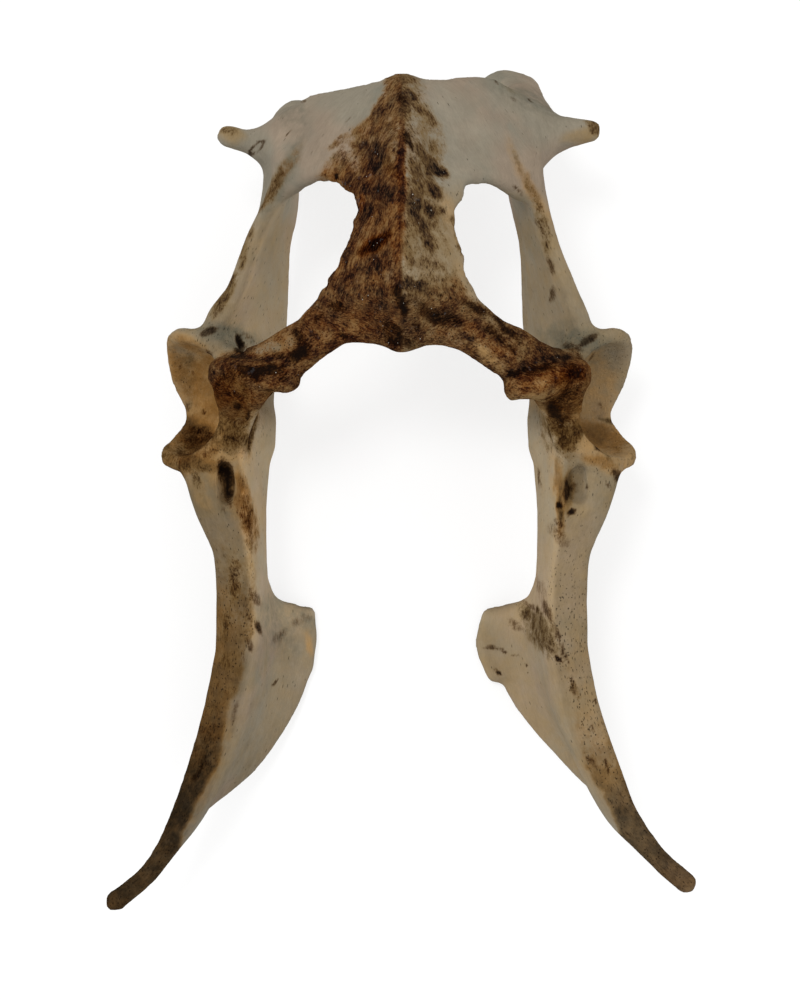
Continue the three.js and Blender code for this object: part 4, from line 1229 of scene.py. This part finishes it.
    def soot(self, base: bpy.types.NodeSocket) -> bpy.types.NodeSocket:
        """Lays the near-black marks over a colour, brown at their edges.

        Args:
            base: The colour under this layer.

        Returns:
            The colour's socket.
        """
        n = self.n
        black = n.read("dark")
        soot = n.plus(n.times(self.fleck, 2.2), n.swing(self.middle, 2.0))
        soot = n.times(black, n.plus(n.times(soot, n.minus(1.25, black)), 1.0))
        base = n.blend(n.between(soot, 0.1, 0.6), base, self.colour(self.finish.umber), "MULTIPLY")
        return n.blend(n.times(n.between(soot, 0.35, 0.95), 0.98), base, self.colour(self.finish.black))

    def pierce(self, base: bpy.types.NodeSocket) -> bpy.types.NodeSocket:
        """Adds the pores, and a few pale specks of painted glint where the stain is thick.

        Args:
            base: The colour under this layer.

        Returns:
            The colour's socket.
        """
        n = self.n
        specks = n.read("specks")
        large = self.pores.place(n, Vector=self.place, Scale=1250.0, Amount=specks)
        small = self.pores.place(n, Vector=self.grain, Scale=2400.0, Amount=specks)
        self.holes = n.math("MAXIMUM", n.times(large, n.between(specks, 0.3, 0.8)), small)
        base = n.blend(n.times(self.holes, 0.72), base, self.colour(self.finish.black))
        # painted glints: tiny pale specks in the colour where the stain is thick
        few = n.times(n.between(self.wide, 0.45, 0.8), 0.03)
        painted_glints = self.pores.place(n, Vector=self.place, Scale=2100.0, Amount=few)
        return n.blend(painted_glints, base, self.colour(self.finish.grit_and_glints))

    def relief(self) -> bpy.types.NodeSocket:
        """Gives the slopes of the grit, streaks and pores.

        Returns:
            The normal's socket.
        """
        n = self.n
        grit_and_glints = n.noise(self.place, 900.0, 4.0, 0.7)
        height = n.swing(grit_and_glints, n.plus(n.times(n.read("rough"), 2.6), 0.25))
        height = n.plus(height, n.times(self.streak, 0.3))
        height = n.minus(height, n.times(self.holes, 0.5))
        height = n.minus(height, n.times(self.thick, 0.3))
        return n.add("Bump", {"Strength": 0.5, "Distance": self.finish.bump_height, "Height": height}).outputs[0]

    def build(self) -> bpy.types.Material:
        """Joins the layers to the shader.

        Returns:
            The finished material.
        """
        n, link = self.n, self.material.node_tree.links.new
        inputs = self.material.node_tree.nodes["Principled BSDF"].inputs
        link(self.pierce(self.soot(self.soak_and_shade(self.stain(self.bare())))), inputs["Base Color"])
        link(n.plus(self.finish.roughness, n.swing(self.cloud, 0.3)), inputs["Roughness"])
        inputs["Specular IOR Level"].default_value = 0.0
        glint = n.between(n.noise(self.place, 420.0, 2.0, 0.6), 0.65, 0.7)
        link(n.times(n.times(glint, n.between(self.wide, 0.5, 0.8)), 0.45), inputs["Coat Weight"])
        inputs["Coat Roughness"].default_value = self.finish.coat_roughness
        link(self.relief(), inputs["Normal"])
        return self.material


@dataclass
class Studio:
    """Floor, lights and camera."""

    camera_shift: float = -0.5  # from the midline, in mm
    lens: float = 74.0
    sensor: float = 36.0
    floor_size: float = 4.0
    floor_drop: float = 0.0002
    floor_grey: float = 0.28
    glow: float = 0.71
    aim: Point = (0.0, 0.0, 0.03)

    def floor(self) -> None:
        """Lays a plain pale floor."""
        shape = bmesh.new()
        bmesh.ops.create_grid(shape, x_segments=2, y_segments=2, size=self.floor_size / 2)
        bmesh.ops.translate(shape, verts=shape.verts, vec=(0, 0, -self.floor_drop))
        mesh = bpy.data.meshes.new("floor")
        shape.to_mesh(mesh)
        shape.free()
        piece = bpy.data.objects.new("floor", mesh)
        bpy.context.scene.collection.objects.link(piece)
        material = bpy.data.materials.new("white_floor")
        material.use_nodes = True
        shader = material.node_tree.nodes["Principled BSDF"]
        shader.inputs["Base Color"].default_value = (self.floor_grey,) * 3 + (1,)
        shader.inputs["Roughness"].default_value = 0.9
        shader.inputs["Specular IOR Level"].default_value = 0.0
        shader.inputs["Emission Color"].default_value = (1, 1, 1, 1)
        shader.inputs["Emission Strength"].default_value = self.glow
        mesh.materials.append(material)

    def lamp(self, name: str, place: Point, size: float, power: float) -> None:
        """Hangs a square soft light that points at the bone.

        Args:
            name: The light's name.
            place: Where it hangs, in metres.
            size: Length of its side in metres.
            power: Its power in watts.
        """
        data = bpy.data.lights.new(name, "AREA")
        data.size = size
        data.energy = power
        lamp = bpy.data.objects.new(name, data)
        lamp.location = place
        lamp.rotation_euler = (Vector(self.aim) - Vector(place)).to_track_quat("-Z", "Y").to_euler()
        bpy.context.scene.collection.objects.link(lamp)

    def world(self, strength: float) -> None:
        """Fills the room with even white light.

        Args:
            strength: Brightness of the light.
        """
        world = bpy.data.worlds.new("room")
        world.use_nodes = True
        world.node_tree.nodes["Background"].inputs["Color"].default_value = (1, 1, 1, 1)
        world.node_tree.nodes["Background"].inputs["Strength"].default_value = strength
        bpy.context.scene.world = world

    def camera(self) -> None:
        """Puts the camera straight above the bone, with the tail end at the top of the picture."""
        data = bpy.data.cameras.new("camera")
        data.lens = self.lens
        data.sensor_width = self.sensor
        data.clip_start = 0.01
        camera = bpy.data.objects.new("camera", data)
        x, y, _ = MIDLINE
        camera.location = ((x + self.camera_shift) * MM, y * MM, CAMERA_HEIGHT * MM)
        bpy.context.scene.collection.objects.link(camera)
        bpy.context.scene.camera = camera

    def build(self) -> None:
        """Sets up the whole studio."""
        self.floor()
        self.lamp("key", (-0.32, 0.42, 1.35), 0.35, 7.0)
        self.lamp("fill", (0.9, -0.5, 0.8), 1.2, 2.0)
        self.world(1.0)
        self.camera()
        bpy.context.scene.view_settings.view_transform = "Standard"


def main() -> None:
    """Builds the bone and the studio."""
    bone = Skin(Anatomy()).build(frame["nodes"])
    bone.data.materials.append(BoneMaterial(BoneFinish()).build())
    log.info("bone: %d faces", len(bone.data.polygons))
    Studio().build()
    bpy.context.view_layer.update()


if __name__ == "__main__":
    main()
